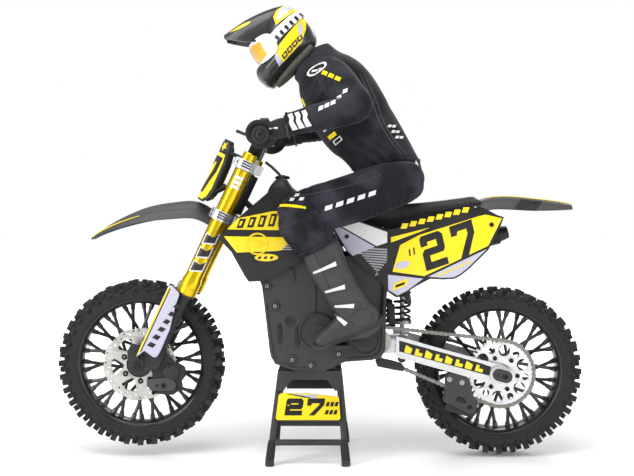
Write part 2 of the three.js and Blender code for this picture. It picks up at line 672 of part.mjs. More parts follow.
// ---- Bodywork -----------------------------------------------------------------------------
// The seat: a long pad on the rails, with its nose running up to the tank.
const seatOutline = [
  [-20, 264], [33, 245.5], [70, 235], [164, 258.5], [169, 267], [150, 266], [112, 261.5],
  [75, 258.5], [40, 261], [10, 267], [-20, 274],
];
add(bike, 'seat', plate(seatOutline, -SEAT_HALF_WIDTH, SEAT_HALF_WIDTH), seatVinyl);

const tankOutline = [
  [-53, 262], [-55, 270], [-52, 280], [-46, 287], [-35, 288.5], [-24, 279], [-20 - GAP, 274.5], [-20 - GAP, 256],
];
add(bike, 'tank_cover', plate(tankOutline, -20, 20), blackPlastic);

// Shrouds flare out towards the front, and clear the fork tubes at full lock.
const shroudOutline = [
  [-101, 227], [-78, 250], [-57, 268], [-45, 279], [-29, 275], [1, 240], [-19, 203], [-57, 183],
  [-71, 183], [-88, 213],
];
const SHROUD_FLARE = THREE.MathUtils.degToRad(7);
function shroud(side) {
  const sheet = plate(shroudOutline, -PANEL_THICKNESS, 0);
  sheet.rotateZ(SHROUD_FLARE).translate(0, -plateInner - 3, 0);
  const lug = box(-34, -28, -plateInner - 8.5, -SPAR_Y - RAIL_RADIUS - 1, 230, 236);
  const plateSpace = plate(sidePlateOutline, -CASE_HALF_WIDTH - GAP, 0);
  const left = cut(join(sheet, lug), plateSpace);
  return side < 0 ? left : mirrored(left);
}
for (const [name, side] of sideNames) {
  add(bike, `shroud_${name}`, shroud(side), yellowPlastic);
}

const sidePanelOutline = [
  [11, 238.5], [33, 244.5], [69.5, 234], [162, 257.5], [174, 249], [185.5, 247], [176.5, 230.5],
  [169, 214.5], [152, 196.5], [136, 185.5], [112, 185.5], [100, 181], [79, 167], [68.5, 174],
  [56.5, 192], [31, 208],
];
for (const [name, side] of sideNames) {
  const sheet = plate(sidePanelOutline, -PANEL_Y - PANEL_THICKNESS, -PANEL_Y);
  add(bike, `side_panel_${name}`, side < 0 ? sheet : mirrored(sheet), yellowPlastic);
}

const rearFender = archedSheet([
  { x: 169.5, z: 266.5, wide: 20, drop: 9, thick: FENDER_THICKNESS },
  { x: 194, z: 267, wide: 20.5, drop: 11, thick: FENDER_THICKNESS },
  { x: 215, z: 265, wide: 19.5, drop: 10, thick: FENDER_THICKNESS },
  { x: 240, z: 261.5, wide: 18, drop: 7, thick: FENDER_THICKNESS },
  { x: 260, z: 259.5, wide: 15, drop: 4, thick: FENDER_THICKNESS },
]);
add(bike, 'rear_fender', rearFender, greyPlastic);

const SILENCER_Y = 24.5;
const silencer = join(
  rod(point(88, SILENCER_Y, 203), point(190, SILENCER_Y, 228), 10.5, 20),
  rod(point(189, SILENCER_Y, 227.8), point(200, SILENCER_Y, 230.5), 9, 20, 6.5),
);
add(bike, 'silencer', silencer, silverMetal);

// ---- Shock absorber: upright, between the rails and the swingarm -----------------------------
const SHOCK_PIN = { z: 118, radius: 2.5 };
const SPRING = { radius: 8.2, wire: 1.2, bottom: 139, top: 171.5, turns: 5 };
const upright = (r, z0, z1, sides = 20) => rod(point(SHOCK_X, 0, z0), point(SHOCK_X, 0, z1), r, sides);
const shockRodRadius = 2.5;
const shockBody = cut(
  join(upright(5.5, 164, SHOCK_TOP + 3), upright(10, SPRING.top + GAP, SPRING.top + GAP + 3)),
  upright(shockRodRadius + RUNNING_GAP, 150, 200),
  rod(point(SHOCK_X, -30, SHOCK_TOP + 7), point(SHOCK_X, 30, SHOCK_TOP + 7), RAIL_RADIUS + GAP, 16),
);
add(bike, 'shock_body', shockBody, blackMetal);
const shockRod = cut(
  join(
    upright(shockRodRadius, SHOCK_PIN.z, 182),
    upright(10, SPRING.bottom - GAP - 3, SPRING.bottom - GAP),
    disc(SHOCK_X, SHOCK_PIN.z, SHOCK_PIN.radius + 4, -4, 4, 20),
  ),
  disc(SHOCK_X, SHOCK_PIN.z, SHOCK_PIN.radius + 1.2, -20, 20, 20),
);
add(bike, 'shock_rod', shockRod, steel);
function shockSpring() {
  const steps = SPRING.turns * 9;
  const height = SPRING.top - SPRING.bottom - 2 * SPRING.wire;
  const points = Array.from({ length: steps + 1 }, (_, i) => {
    const turn = (2 * Math.PI * SPRING.turns * i) / steps;
    const z = SPRING.bottom + SPRING.wire + (height * i) / steps;
    return point(SHOCK_X + SPRING.radius * Math.cos(turn), SPRING.radius * Math.sin(turn), z);
  });
  const section = new THREE.Shape().absarc(0, 0, SPRING.wire, 0, 2 * Math.PI);
  const extrudePath = new THREE.CatmullRomCurve3(points);
  return new THREE.ExtrudeGeometry(section, { steps, extrudePath, curveSegments: 2 });
}
add(bike, 'shock_spring', shockSpring(), yellowPlastic);

// ---- Swingarm, chain and rear axle ----------------------------------------------------------
const armInner = CASE_HALF_WIDTH - ARM_THICKNESS;
const armAlong = rearAxle.clone().sub(point(PIVOT.x, 0, PIVOT.z)).normalize();
const TUBE_HALF = 22;
function swingarm() {
  const blade = (side) => {
    const [y0, y1] = side < 0 ? [-CASE_HALF_WIDTH, -armInner] : [armInner, CASE_HALF_WIDTH];
    return join(
      plate([
        [78, 127], [164, 103], [rearAxle.x + 2, rearAxle.z + 9], [rearAxle.x + 11, rearAxle.z + 4],
        [rearAxle.x + 11, rearAxle.z - 5], [rearAxle.x + 2, rearAxle.z - 10], [172, 79.5], [132, 91], [78, 106],
      ], y0, y1),
      side < 0
        ? box(78, 93, -CASE_HALF_WIDTH + 1, -14, 106, 121)
        : box(78, 93, 14, CASE_HALF_WIDTH - 1, 106, 121),
    );
  };
  const pivotTube = disc(PIVOT.x, PIVOT.z, 8, -TUBE_HALF, TUBE_HALF, 20);
  const yoke = [-1, 1].map((side) => (side < 0 ? box(61, 90, -22, -10, 108, 122) : box(61, 90, 10, 22, 108, 122)));
  const shockPin = disc(SHOCK_X, SHOCK_PIN.z, SHOCK_PIN.radius, -12, 12, 16);
  return cut(
    join(blade(-1), blade(1), pivotTube, ...yoke, shockPin),
    disc(PIVOT.x, PIVOT.z, SWING_PIN_RADIUS + RUNNING_GAP, -50, 50, 20),
    disc(rearAxle.x, rearAxle.z, AXLE_RADIUS + GAP, -50, 50, 20),
  );
}
add(bike, 'swingarm', swingarm(), silverMetal);

// A loop at a set distance outside both pitch circles, with straight runs between them.
function chainOutline(offset) {
  const slope = Math.atan2(armAlong.z, armAlong.x);
  const span = rearAxle.distanceTo(point(PIVOT.x, 0, PIVOT.z));
  const spread = Math.asin((rearPitch - drivePitch) / span);
  const arc = (centre, radius, from, to, steps) => Array.from({ length: steps + 1 }, (_, i) => {
    const turn = from + ((to - from) * i) / steps;
    return [centre.x + (radius + offset) * Math.cos(turn), centre.z + (radius + offset) * Math.sin(turn)];
  });
  const quarter = Math.PI / 2;
  return [
    ...arc(rearAxle, rearPitch, slope - quarter - spread, slope + quarter + spread, 28),
    ...arc(PIVOT, drivePitch, slope + quarter + spread, slope + 3 * quarter - spread, 12),
  ];
}
function chainLoop(grow) {
  const [y0, y1] = [CHAIN_Y - CHAIN_WIDTH / 2 - grow, CHAIN_Y + CHAIN_WIDTH / 2 + grow];
  const half = CHAIN_HEIGHT / 2 + grow;
  return cut(plate(chainOutline(half), y0, y1), plate(chainOutline(-half), y0 - 1, y1 + 1));
}
const chainBand = chainLoop(0);
add(bike, 'chain', chainBand, steel);
const guideBlock = plate([
  [129, 91], [151, 84.9], [156, 68], [163, 57], [160, 49.5], [127, 62],
], CHAIN_Y - 5, CHAIN_Y + 5);
add(bike, 'chain_guide', cut(guideBlock, chainLoop(0.7)), blackPlastic);

const axleOut = CASE_HALF_WIDTH + GAP;
const rearAxleRod = join(
  disc(rearAxle.x, rearAxle.z, AXLE_RADIUS, -axleOut - 1, axleOut + 1, 20),
  disc(rearAxle.x, rearAxle.z, 7, -axleOut - 3, -axleOut, 16),
  disc(rearAxle.x, rearAxle.z, 7, axleOut, axleOut + 3, 16),
);
add(bike, 'rear_axle', rearAxleRod, steel);

// ---- Rider figure -------------------------------------------------------------------------
const torsoStations = [
  { x: 76, z: 269, deep: 26, wide: 30 },
  { x: 75, z: 280, deep: 33, wide: 37 },
  { x: 68, z: 297, deep: 36, wide: 37, tilt: -5 },
  { x: 57, z: 314, deep: 40, wide: 36, tilt: 5 },
  { x: 36, z: 345, deep: 43, wide: 42, tilt: 5 },
  { x: 22, z: 371, deep: 40, wide: 47, tilt: 6 },
  { x: 11, z: 390, deep: 36, wide: 48, tilt: 8 },
  { x: 5, z: 407, deep: 28, wide: 34, tilt: 10 },
  { x: -2, z: 422, deep: 15, wide: 18, tilt: 15 },
];
// The helmet's rim lies on a plane sloping up to the back of the neck.
const RIM_HEIGHT = 431;
const NECK_GAP = 0.8;
function beyondRim(shift, above) {
  const size = 200;
  const slab = new THREE.BoxGeometry(size, size, size);
  slab.translate(0, 0, (above ? size : -size) / 2).rotateY(-Math.PI / 4);
  return slab.translate(0, 0, RIM_HEIGHT + shift);
}
add(bike, 'rider_torso', cut(loft(torsoStations, 14), beyondRim(-NECK_GAP, true)), whiteCloth);

function helmet() {
  const shell = new THREE.SphereGeometry(1, 16, 12).scale(33, 29, 40);
  shell.rotateY(THREE.MathUtils.degToRad(-8)).translate(-33.5, 0, 431.5);
  const chin = loft([
    { x: -37, z: 405, deep: 24, wide: 27, tilt: 90 },
    { x: -56, z: 398, deep: 15, wide: 21, tilt: 80 },
    { x: -66, z: 396, deep: 10, wide: 11, tilt: 75 },
  ], 12);
  const visorShape = [
    [-100, 437], [-92, 443], [-76, 453], [-62, 458], [-50, 462], [-50, 444], [-62, 433], [-76, 429], [-87, 429],
  ];
  const visor = cut(
    plate(visorShape, -21, 21),
    plate([[-96, 434], [-76, 447], [-62, 452], [-50, 455], [-50, 425], [-90, 425]], -19, 19),
  );
  return cut(join(shell, chin, visor), beyondRim(0, false));
}
add(bike, 'helmet', helmet(), helmetShell);

// Stuffed sleeves: shoulder to elbow to wrist, ending clear of the glove.
function arm(side) {
  const [shoulder, elbow, wrist] = [point(16, -44, 389), point(43, -92, 344), point(-24, -84, 336)];
  const sleeve = join(
    rod(shoulder, elbow, 17, 10, 14),
    ball(shoulder, 17.2, 10),
    ball(elbow, 14.4, 10),
    rod(elbow, wrist, 14, 10, 10.5),
  );
  const left = cut(sleeve, loft(torsoStations, 14, 0.8));
  return side < 0 ? left : mirrored(left);
}
for (const [name, side] of sideNames) {
  add(bike, `arm_${name}`, arm(side), whiteCloth);
}

// Trousers and boots; the knees stay outside the shrouds.
function leg(side) {
  const thigh = loft([
    { x: 92, y: -50, z: 283, deep: 14, wide: 10, tilt: 80 },
    { x: 78, y: -47, z: 280, deep: 22, wide: 18, tilt: 85 },
    { x: 40, y: -54, z: 268, deep: 24, wide: 17, tilt: 85 },
    { x: 0, y: -LEG_Y - 2, z: 257, deep: 24, wide: 17, tilt: 80 },
    { x: -24, y: -LEG_Y - 3, z: 249, deep: 22, wide: 17, tilt: 60 },
    { x: -24, y: -LEG_Y - 2, z: 240, deep: 18, wide: 15, tilt: 20 },
  ], 12);
  const shin = loft([
    { x: -18, y: -LEG_Y - 3, z: 250, deep: 20, wide: 15, tilt: 20 },
    { x: -8, y: -LEG_Y - 1, z: 232, deep: 24, wide: 17, tilt: 28 },
    { x: 8, y: -LEG_Y, z: 205, deep: 25, wide: 17, tilt: 20 },
    { x: 22, y: -LEG_Y, z: 180, deep: 19, wide: 15, tilt: 20 },
    { x: 34, y: -LEG_Y, z: 158, deep: 19, wide: 14, tilt: 15 },
    { x: 37, y: -LEG_Y, z: 148, deep: 17, wide: 13, tilt: 20 },
  ], 12);
  const foot = plate([
    [-7, 124], [1, 117.5], [60, 143], [63, 150], [50, 168], [28, 166], [12, 150], [-4, 136],
  ], -LEG_Y - 12, -LEG_Y + 12);
  const pegSpace = box(PEG.x - 8, PEG.x + 8, -80, -30, 100, PEG.z + PEG.radius + GAP);
  const innerWall = box(-100, 66, -PANEL_Y - PANEL_THICKNESS - 0.6, 0, 0, 262);
  const shroudWall = box(-120, 120, -2, 100, 0, 400).rotateZ(SHROUD_FLARE);
  shroudWall.translate(0, -plateInner - 3 - PANEL_THICKNESS - 0.6, 0);
  const seatSpace = plate(seatOutline, -SEAT_HALF_WIDTH - 1, SEAT_HALF_WIDTH);
  const left = cut(
    join(thigh, shin, foot),
    loft(torsoStations, 14, 0.6), pegSpace, innerWall, shroudWall, seatSpace,
  );
  return side < 0 ? left : mirrored(left);
}
for (const [name, side] of sideNames) {
  add(bike, `leg_${name}`, leg(side), cloth);
}

// ---- Bench stand --------------------------------------------------------------------------
const STAND_X = -10;
const standFront = STAND_X - STAND_LENGTH / 2;
const standBack = STAND_X + STAND_LENGTH / 2;
const FLANGE_DEPTH = 20;
function standTop() {
  const side = [
    [standFront, STAND_TOP], [standFront - 2, STAND_TOP - FLANGE_DEPTH], [standFront + 6, STAND_TOP - FLANGE_DEPTH],
    [standFront + 14, STAND_TOP - 9], [standBack - 14, STAND_TOP - 9], [standBack - 6, STAND_TOP - FLANGE_DEPTH],
    [standBack + 2, STAND_TOP - FLANGE_DEPTH], [standBack, STAND_TOP],
  ];
  const inside = STAND_HALF_WIDTH - STAND_SHEET;
  const under = box(standFront - 9, standBack + 9, -inside, inside, 0, STAND_TOP - STAND_SHEET);
  return cut(plate(side, -STAND_HALF_WIDTH, STAND_HALF_WIDTH), under);
}
add(bike, 'stand_top', standTop(), blackMetal);

const barZ = STAND_TOP - STAND_SHEET - GAP - STAND_TUBE_RADIUS;
const LEG_TOP_Y = 21;
const FOOT_HEIGHT = 5;
const legEnds = (x, side) => {
  const outward = x < STAND_X ? -9 : 7;
  return [point(x, side * LEG_TOP_Y, barZ), point(x + outward, side * STAND_FOOT_SPREAD, FOOT_HEIGHT)];
};
const legXs = [standFront + 2, standBack - 2];
const CROSSBAR = 0.79; // how far down the legs the lower bars sit
function standFrame() {
  const pieces = [];
  for (const x of legXs) {
    pieces.push(rod(point(x, -LEG_TOP_Y, barZ), point(x, LEG_TOP_Y, barZ), STAND_TUBE_RADIUS, 8));
    for (const side of [-1, 1]) {
      const [top, foot] = legEnds(x, side);
      pieces.push(rod(top, foot, STAND_TUBE_RADIUS, 8), ball(top, STAND_TUBE_RADIUS, 8));
      pieces.push(rod(point(foot.x, foot.y, 0), point(foot.x, foot.y, FOOT_HEIGHT + 1), 4.5, 12));
    }
  }
  for (const side of [-1, 1]) {
    const [a, b] = legXs.map((x) => {
      const [top, foot] = legEnds(x, side);
      return top.lerp(foot, CROSSBAR);
    });
    pieces.push(rod(a, b, STAND_TUBE_RADIUS, 8));
  }
  return join(...pieces);
}
add(bike, 'stand_frame', standFrame(), blackMetal);

function standPlate() {
  const lean = Math.atan2(STAND_FOOT_SPREAD - LEG_TOP_Y, barZ - FOOT_HEIGHT);
  const sheet = new THREE.BoxGeometry(STAND_LENGTH + 1, 2, 25).rotateX(-lean);
  const drop = 0.375;
  const y = -LEG_TOP_Y - (STAND_FOOT_SPREAD - LEG_TOP_Y) * drop;
  const off = STAND_TUBE_RADIUS + GAP + 1;
  const z = barZ - (barZ - FOOT_HEIGHT) * drop;
  return sheet.translate(STAND_X - 1, y - off * Math.cos(lean), z + off * Math.sin(lean));
}
add(bike, 'stand_number_plate', standPlate(), yellowPlastic);

export default bike;
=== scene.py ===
import json
from math import acos, atan2, copysign, cos, degrees, hypot, pi, radians, sin
import bmesh
import bpy
from mathutils import Matrix, Vector
from mathutils.bvhtree import BVHTree


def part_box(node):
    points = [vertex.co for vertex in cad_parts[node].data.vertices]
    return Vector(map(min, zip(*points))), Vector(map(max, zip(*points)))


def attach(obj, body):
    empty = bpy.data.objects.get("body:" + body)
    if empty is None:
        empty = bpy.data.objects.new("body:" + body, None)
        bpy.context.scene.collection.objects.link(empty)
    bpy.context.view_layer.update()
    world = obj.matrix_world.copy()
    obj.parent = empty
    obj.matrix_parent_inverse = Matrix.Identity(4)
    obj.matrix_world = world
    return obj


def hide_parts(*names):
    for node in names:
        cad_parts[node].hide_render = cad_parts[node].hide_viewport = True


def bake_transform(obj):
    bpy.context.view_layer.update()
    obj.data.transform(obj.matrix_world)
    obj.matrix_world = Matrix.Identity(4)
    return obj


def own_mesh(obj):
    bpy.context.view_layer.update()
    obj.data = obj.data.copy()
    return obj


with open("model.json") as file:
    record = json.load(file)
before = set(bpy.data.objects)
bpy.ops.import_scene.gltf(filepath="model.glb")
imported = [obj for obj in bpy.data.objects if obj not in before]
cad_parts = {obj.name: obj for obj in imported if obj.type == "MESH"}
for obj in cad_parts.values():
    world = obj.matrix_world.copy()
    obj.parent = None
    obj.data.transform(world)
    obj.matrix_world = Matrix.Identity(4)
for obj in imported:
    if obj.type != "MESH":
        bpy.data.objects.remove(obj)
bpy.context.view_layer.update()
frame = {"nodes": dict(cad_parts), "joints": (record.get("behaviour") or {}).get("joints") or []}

# ---------------------------------------------------------------------------------------------
# Studio: the bench top, the lamps and the camera
# A pale, matt table top with soft overhead and side lamps. None of it belongs to the model.
MM = 0.001
SIDES = (("left", -1), ("right", 1))


def linked(name, data):
    """A new object in the scene."""
    thing = bpy.data.objects.new(name, data)
    bpy.context.scene.collection.objects.link(thing)
    return thing


def feed(tree, node, values):
    """Sets a node's input sockets, or links them, by name or number."""
    for key, value in values.items():
        if isinstance(value, bpy.types.NodeSocket):
            tree.links.new(value, node.inputs[key])
        else:
            node.inputs[key].default_value = value


def add(tree, kind, values=None, **settings):
    """A new node with its settings, and its input sockets fed. A plain kind is a shader's."""
    node = tree.nodes.new(kind if "Node" in kind else "ShaderNode" + kind)
    for key, value in settings.items():
        setattr(node, key, value)
    feed(tree, node, values or {})
    return node


def maths(tree, rule, *values):
    """The result of one sum on numbers or sockets."""
    return add(tree, "Math", dict(enumerate(values)), operation=rule).outputs[0]


def here(tree):
    """Each point's own place on its object, in metres."""
    return add(tree, "TexCoord").outputs["Object"]


camera_data = bpy.data.cameras.new("camera")
camera_data.lens = 58.68
camera_data.sensor_width = 36
camera_data.shift_x = -0.0363
camera_data.shift_y = -0.0678
camera_data.clip_start = 0.01
camera = linked("camera", camera_data)
camera.location = (0.0211, -1.080, 0.2699)
camera.rotation_euler = (radians(90), 0, 0)
bpy.context.scene.camera = camera
bpy.context.scene.view_settings.view_transform = "Standard"

world = bpy.data.worlds.new("studio air")
bpy.context.scene.world = world
world.use_nodes = True
# the backdrop itself is white, and the air round the model is dimmer, so black parts stay black
air = world.node_tree
seen = add(air, "LightPath").outputs["Is Camera Ray"]
strength = add(air, "MapRange", {"Value": seen, "To Min": 0.5, "To Max": 1.0})
feed(air, air.nodes["Background"], {"Color": (1.0, 1.0, 1.0, 1),
    "Strength": strength.outputs["Result"]})


def soft_lamp(name, place, aim, width, height, watts):
    lamp = bpy.data.lights.new(name, "AREA")
    lamp.shape = "RECTANGLE"
    lamp.size = width
    lamp.size_y = height
    lamp.energy = watts
    holder = linked(name, lamp)
    holder.location = place
    holder.rotation_euler = (Vector(aim) - Vector(place)).to_track_quat("-Z", "Y").to_euler()


soft_lamp("overhead lamp", (-0.25, -0.45, 1.5), (0, 0, 0.2), 1.4, 0.9, watts=17)
soft_lamp("left lamp", (-1.2, -0.9, 0.7), (0, 0, 0.2), 0.5, 1.0, watts=11)
soft_lamp("right lamp", (1.3, -0.7, 0.5), (0, 0, 0.15), 0.4, 1.0, watts=6)
soft_lamp("back lamp", (0.3, 1.2, 1.1), (0, 0, 0.25), 1.2, 0.6, watts=9)


def shader_group(name, takes, gives):
    """An empty shader node group with named number, colour or vector sockets."""
    tree = bpy.data.node_groups.new(name, "ShaderNodeTree")
    kinds = {"number": "NodeSocketFloat", "colour": "NodeSocketColor",
        "vector": "NodeSocketVector"}
    for label, kind, value in takes:
        socket = tree.interface.new_socket(label, in_out="INPUT", socket_type=kinds[kind])
        if value is not None:
            socket.default_value = value
    for label, kind in gives:
        tree.interface.new_socket(label, in_out="OUTPUT", socket_type=kinds[kind])
    start = tree.nodes.new("NodeGroupInput")
    end = tree.nodes.new("NodeGroupOutput")
    return tree, start, end


# Grain that every finish shares: fine noise for the bump and the gloss, and broad soft patches
# where hands and dust have dulled it.
grain, takes, gives = shader_group("surface grain", [("Fineness", "number", 900.0),
    ("Gloss", "number", 0.4), ("Spread", "number", 0.1), ("Dull", "number", 0.1)],
    [("Height", "number"), ("Roughness", "number"), ("Patches", "number")])
place = here(grain)
fine = add(grain, "TexNoise", {"Vector": place, "Scale": takes.outputs["Fineness"], "Detail": 3.0,
    "Roughness": 0.6})
broad = add(grain, "TexNoise", {"Vector": place, "Scale": 38.0, "Detail": 4.0})
patch = add(grain, "MapRange", {"Value": broad.outputs["Fac"], "From Min": 0.42, "From Max": 0.68})
speck = maths(grain, "MULTIPLY_ADD", fine.outputs["Fac"], takes.outputs["Spread"],
    takes.outputs["Gloss"])
rough = maths(grain, "MULTIPLY_ADD", patch.outputs["Result"], takes.outputs["Dull"], speck)
feed(grain, gives, {"Height": fine.outputs["Fac"], "Roughness": rough,
    "Patches": patch.outputs["Result"]})

# Colour that the grain touches: slightly darker in its pits and paler where dust lies.
dusted, takes, gives = shader_group("dusted colour", [("Base", "colour", (0.5, 0.5, 0.5, 1)),
    ("Height", "number", 0.5), ("Patches", "number", 0.0), ("Variation", "number", 0.12),
    ("Dust", "number", 0.04)], [("Colour", "colour")])
shade = add(dusted, "MapRange", {"Value": takes.outputs["Height"], "From Min": 0.3,
    "From Max": 0.7, "To Min": 0.72, "To Max": 1.1})
darker = add(dusted, "VectorMath", {0: takes.outputs["Base"], 1: shade.outputs["Result"]},
    operation="MULTIPLY")
mixer = add(dusted, "MixRGB", {0: takes.outputs["Variation"], 1: takes.outputs["Base"],
    2: darker.outputs[0]})
amount = maths(dusted, "MULTIPLY", takes.outputs["Patches"], takes.outputs["Dust"])
dust = add(dusted, "MixRGB", {0: amount, 1: mixer.outputs[0], 2: (0.20, 0.19, 0.17, 1)})
feed(dusted, gives, {"Colour": dust.outputs[0]})


def finish_of(name, colour, gloss=0.4, spread=0.12, dull=0.1, metal=0.0, fineness=900.0, bump=0.05,
        dust=0.04, coat=0.0, variation=0.5, sheen=0.0, specular=0.35):
    """A grained finish. Its colour is a plain one, or a function that adds nodes for it."""
    finish = bpy.data.materials.new(name)
    finish.use_nodes = True
    tree = finish.node_tree
    shader = tree.nodes["Principled BSDF"]
    skin = add(tree, "Group", {"Fineness": fineness, "Gloss": gloss, "Spread": spread,
        "Dull": dull}, node_tree=grain)
    paint = add(tree, "Group", {"Base": colour(tree) if callable(colour) else (*colour, 1),
        "Variation": variation, "Dust": dust, "Height": skin.outputs["Height"],
        "Patches": skin.outputs["Patches"]}, node_tree=dusted)
    relief = add(tree, "Bump", {"Height": skin.outputs["Height"], "Strength": bump,
        "Distance": 0.0004})
    feed(tree, shader, {"Base Color": paint.outputs["Colour"],
        "Roughness": skin.outputs["Roughness"], "Normal": relief.outputs["Normal"],
        "Metallic": metal, "Coat Weight": coat, "Coat Roughness": 0.12, "Sheen Weight": sheen,
        "Specular IOR Level": specular})
    return finish


def paint_node(node, finish):
    """Gives a carried-over solid its finish."""
    solid = frame["nodes"][node]
    for place_in_mesh in solid.material_slots:
        place_in_mesh.material = finish
    if not solid.material_slots:
        solid.data.materials.append(finish)


bench_finish = finish_of("bench top", (0.93, 0.93, 0.92), gloss=0.5, dust=0.0, variation=0.03,
    fineness=220.0, bump=0.01)
# the table top glows: painted light, faint near the model and rising to a full white glow away
# from it, so it fades to a plain white sweep
table = bench_finish.node_tree
spread_out = add(table, "VectorMath", {0: here(table)}, operation="LENGTH")
fade = add(table, "MapRange", {"Value": spread_out.outputs["Value"], "From Min": 0.3,
    "From Max": 1.0, "To Min": 0.05, "To Max": 1.0})
feed(table, table.nodes["Principled BSDF"], {"Emission Color": fade.outputs["Result"],
    "Emission Strength": 0.8})
bench = bpy.data.meshes.new("bench top")
bench.from_pydata([(-4, -3, 0), (4, -3, 0), (4, 5, 0), (-4, 5, 0)], [], [(0, 1, 2, 3)])
bench.materials.append(bench_finish)
bench_top = linked("bench_top", bench)

# ---------------------------------------------------------------------------------------------
# Wheels
# Moulded nylon rims with thick laced spokes, knobbly rubber tyres glued on their beads, a steel
# brake disc at the front and an aluminium sprocket at the back, both screwed to the hub flanges.
UPRIGHT = Matrix.Rotation(radians(90), 4, "X")


def polar(radius, degrees):
    return (radius * cos(radians(degrees)), radius * sin(radians(degrees)))


def angles(count):
    """Evenly spaced angles, once round."""
    return [2 * pi * k / count for k in range(count)]


def circle(radius, x=0.0, y=0.0, sides=20):
    return [(x + radius * cos(a), y + radius * sin(a)) for a in angles(sides)]


def turned(profile, turns=96):
    """A solid turned about the axle: its profile is (radius, side) points round a closed loop."""
    shape = bmesh.new()
    rings = []
    for angle in angles(turns):
        rings.append([shape.verts.new((r * cos(angle), side, r * sin(angle)))
            for r, side in profile])
    for step in range(turns):
        now, after = rings[step], rings[(step + 1) % turns]
        for i in range(len(profile)):
            j = (i + 1) % len(profile)
            shape.faces.new((now[i], now[j], after[j], after[i]))
    bmesh.ops.remove_doubles(shape, verts=shape.verts, dist=1e-4)
    return closed_mesh(shape)


def closed_mesh(shape):
    """The finished mesh of a bmesh, its faces outward."""
    bmesh.ops.recalc_face_normals(shape, faces=shape.faces)
    mesh = bpy.data.meshes.new("part")
    shape.to_mesh(mesh)
    shape.free()
    return mesh


def moved(mesh, matrix):
    mesh.transform(matrix)
    if matrix.determinant() < 0:
        mesh.flip_normals()
    return mesh


def plain_copy(holder):
    """The evaluated object as a plain mesh; the object that held it is taken away."""
    bpy.context.view_layer.update()
    ready = holder.evaluated_get(bpy.context.evaluated_depsgraph_get())
    mesh = bpy.data.meshes.new_from_object(ready)
    bpy.data.objects.remove(holder)
    return mesh


def plate(outlines, thickness, rounding=0.0, grow=0.0):
    """A flat plate with holes, lying in x and y and centred in z, with rounded edges."""
    outline = bpy.data.curves.new("outline", "CURVE")
    outline.dimensions = "2D"
    outline.fill_mode = "BOTH"
    outline.extrude = thickness / 2 - rounding
    outline.bevel_depth = rounding
    outline.bevel_resolution = 2
    outline.offset = grow - rounding
    for loop in outlines:
        spline = outline.splines.new("POLY")
        spline.points.add(len(loop) - 1)
        spline.use_cyclic_u = True
        for point, (x, y) in zip(spline.points, loop):
            point.co = (x, y, 0, 1)
    holder = linked("outline", outline)
    shape = bmesh.new()
    shape.from_mesh(plain_copy(holder))
    bmesh.ops.remove_doubles(shape, verts=shape.verts, dist=1e-4)
    return closed_mesh(shape)


def smooth_path(points, steps=6, closed=False):
    """A smooth line through the points."""
    line = []
    count = len(points)
    spans = count if closed else count - 1
    for i in range(spans):
        if closed:
            p = [Vector(points[(i + k) % count]) for k in (-1, 0, 1, 2)]
        else:
            p = [Vector(points[max(0, min(count - 1, i + k))]) for k in (-1, 0, 1, 2)]
        for step in range(steps):
            t = step / steps
            line.append(0.5 * ((2 * p[1]) + (p[2] - p[0]) * t + (2 * p[0] - 5 * p[1] + 4 * p[2]
                - p[3]) * t * t + (3 * p[1] - p[0] - 3 * p[2] + p[3]) * t ** 3))
    if not closed:
        line.append(Vector(points[-1]))
    return line


def lofted(rings, closed=False):
    """A skin over rings of the same number of points, capped at both ends."""
    shape = bmesh.new()
    rows = [[shape.verts.new(point) for point in ring] for ring in rings]
    pairs = list(zip(rows, rows[1:])) + ([(rows[-1], rows[0])] if closed else [])
    for now, after in pairs:
        for i in range(len(now)):
            j = (i + 1) % len(now)
            shape.faces.new((now[i], now[j], after[j], after[i]))
    if not closed:
        shape.faces.new(rows[0])
        shape.faces.new(list(reversed(rows[-1])))
    return closed_mesh(shape)


def swept(points, radius, sides=12, closed=False, radii=None):
    """A round bar along a line. Its radius may change from point to point."""
    line = [Vector(p) for p in points]
    count = len(line)
    side = None
    rings = []
    for i in range(count):
        if closed:
            ahead = (line[(i + 1) % count] - line[i - 1]).normalized()
        else:
            ahead = (line[min(count - 1, i + 1)] - line[max(0, i - 1)]).normalized()
        if side is None:
            side = ahead.orthogonal().normalized()
        side = (side - ahead * side.dot(ahead)).normalized()
        up = ahead.cross(side)
        r = radii[i] if radii else radius
        rings.append([line[i] + side * (r * cos(a)) + up * (r * sin(a)) for a in angles(sides)])
    return lofted(rings, closed)


def block(x, y, z, taper=1.0, rounding=0.0, segments=2):
    """A block centred on the origin in x and y and standing on z = 0, narrower at its top."""
    shape = bmesh.new()
    bmesh.ops.create_cube(shape, size=1)
    for corner in shape.verts:
        narrow = taper if corner.co.z > 0 else 1
        corner.co = (corner.co.x * x * narrow, corner.co.y * y * narrow, (corner.co.z + 0.5) * z)
    if rounding:
        bmesh.ops.bevel(shape, geom=list(shape.edges), offset=rounding, segments=segments,
            profile=0.6, affect="EDGES")
    return closed_mesh(shape)


def finished(name, parts, finish, body, slot, stands_for=(), where=None, smooth=38):
    """Joins meshes in millimetres into one piece in metres that rides on a body. The finish is
    one material, or one for each mesh."""
    finishes = finish if isinstance(finish, list) else [finish] * len(parts)
    kinds = list(dict.fromkeys(finishes))
    shape = bmesh.new()
    for part, skin in zip(parts, finishes):
        first = len(shape.faces)
        shape.from_mesh(part)
        shape.faces.ensure_lookup_table()
        for face in shape.faces[first:]:
            face.material_index = kinds.index(skin)
    mesh = bpy.data.meshes.new(name)
    shape.to_mesh(mesh)
    shape.free()
    mesh.transform(Matrix.Scale(MM, 4) @ (where or Matrix()))
    for skin in kinds:
        mesh.materials.append(skin)
    mesh.shade_smooth()
    mesh.set_sharp_from_angle(angle=radians(smooth))
    piece = linked(name, mesh)
    if body:
        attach(piece, body)
    if stands_for:
        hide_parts(*stands_for)
    return piece


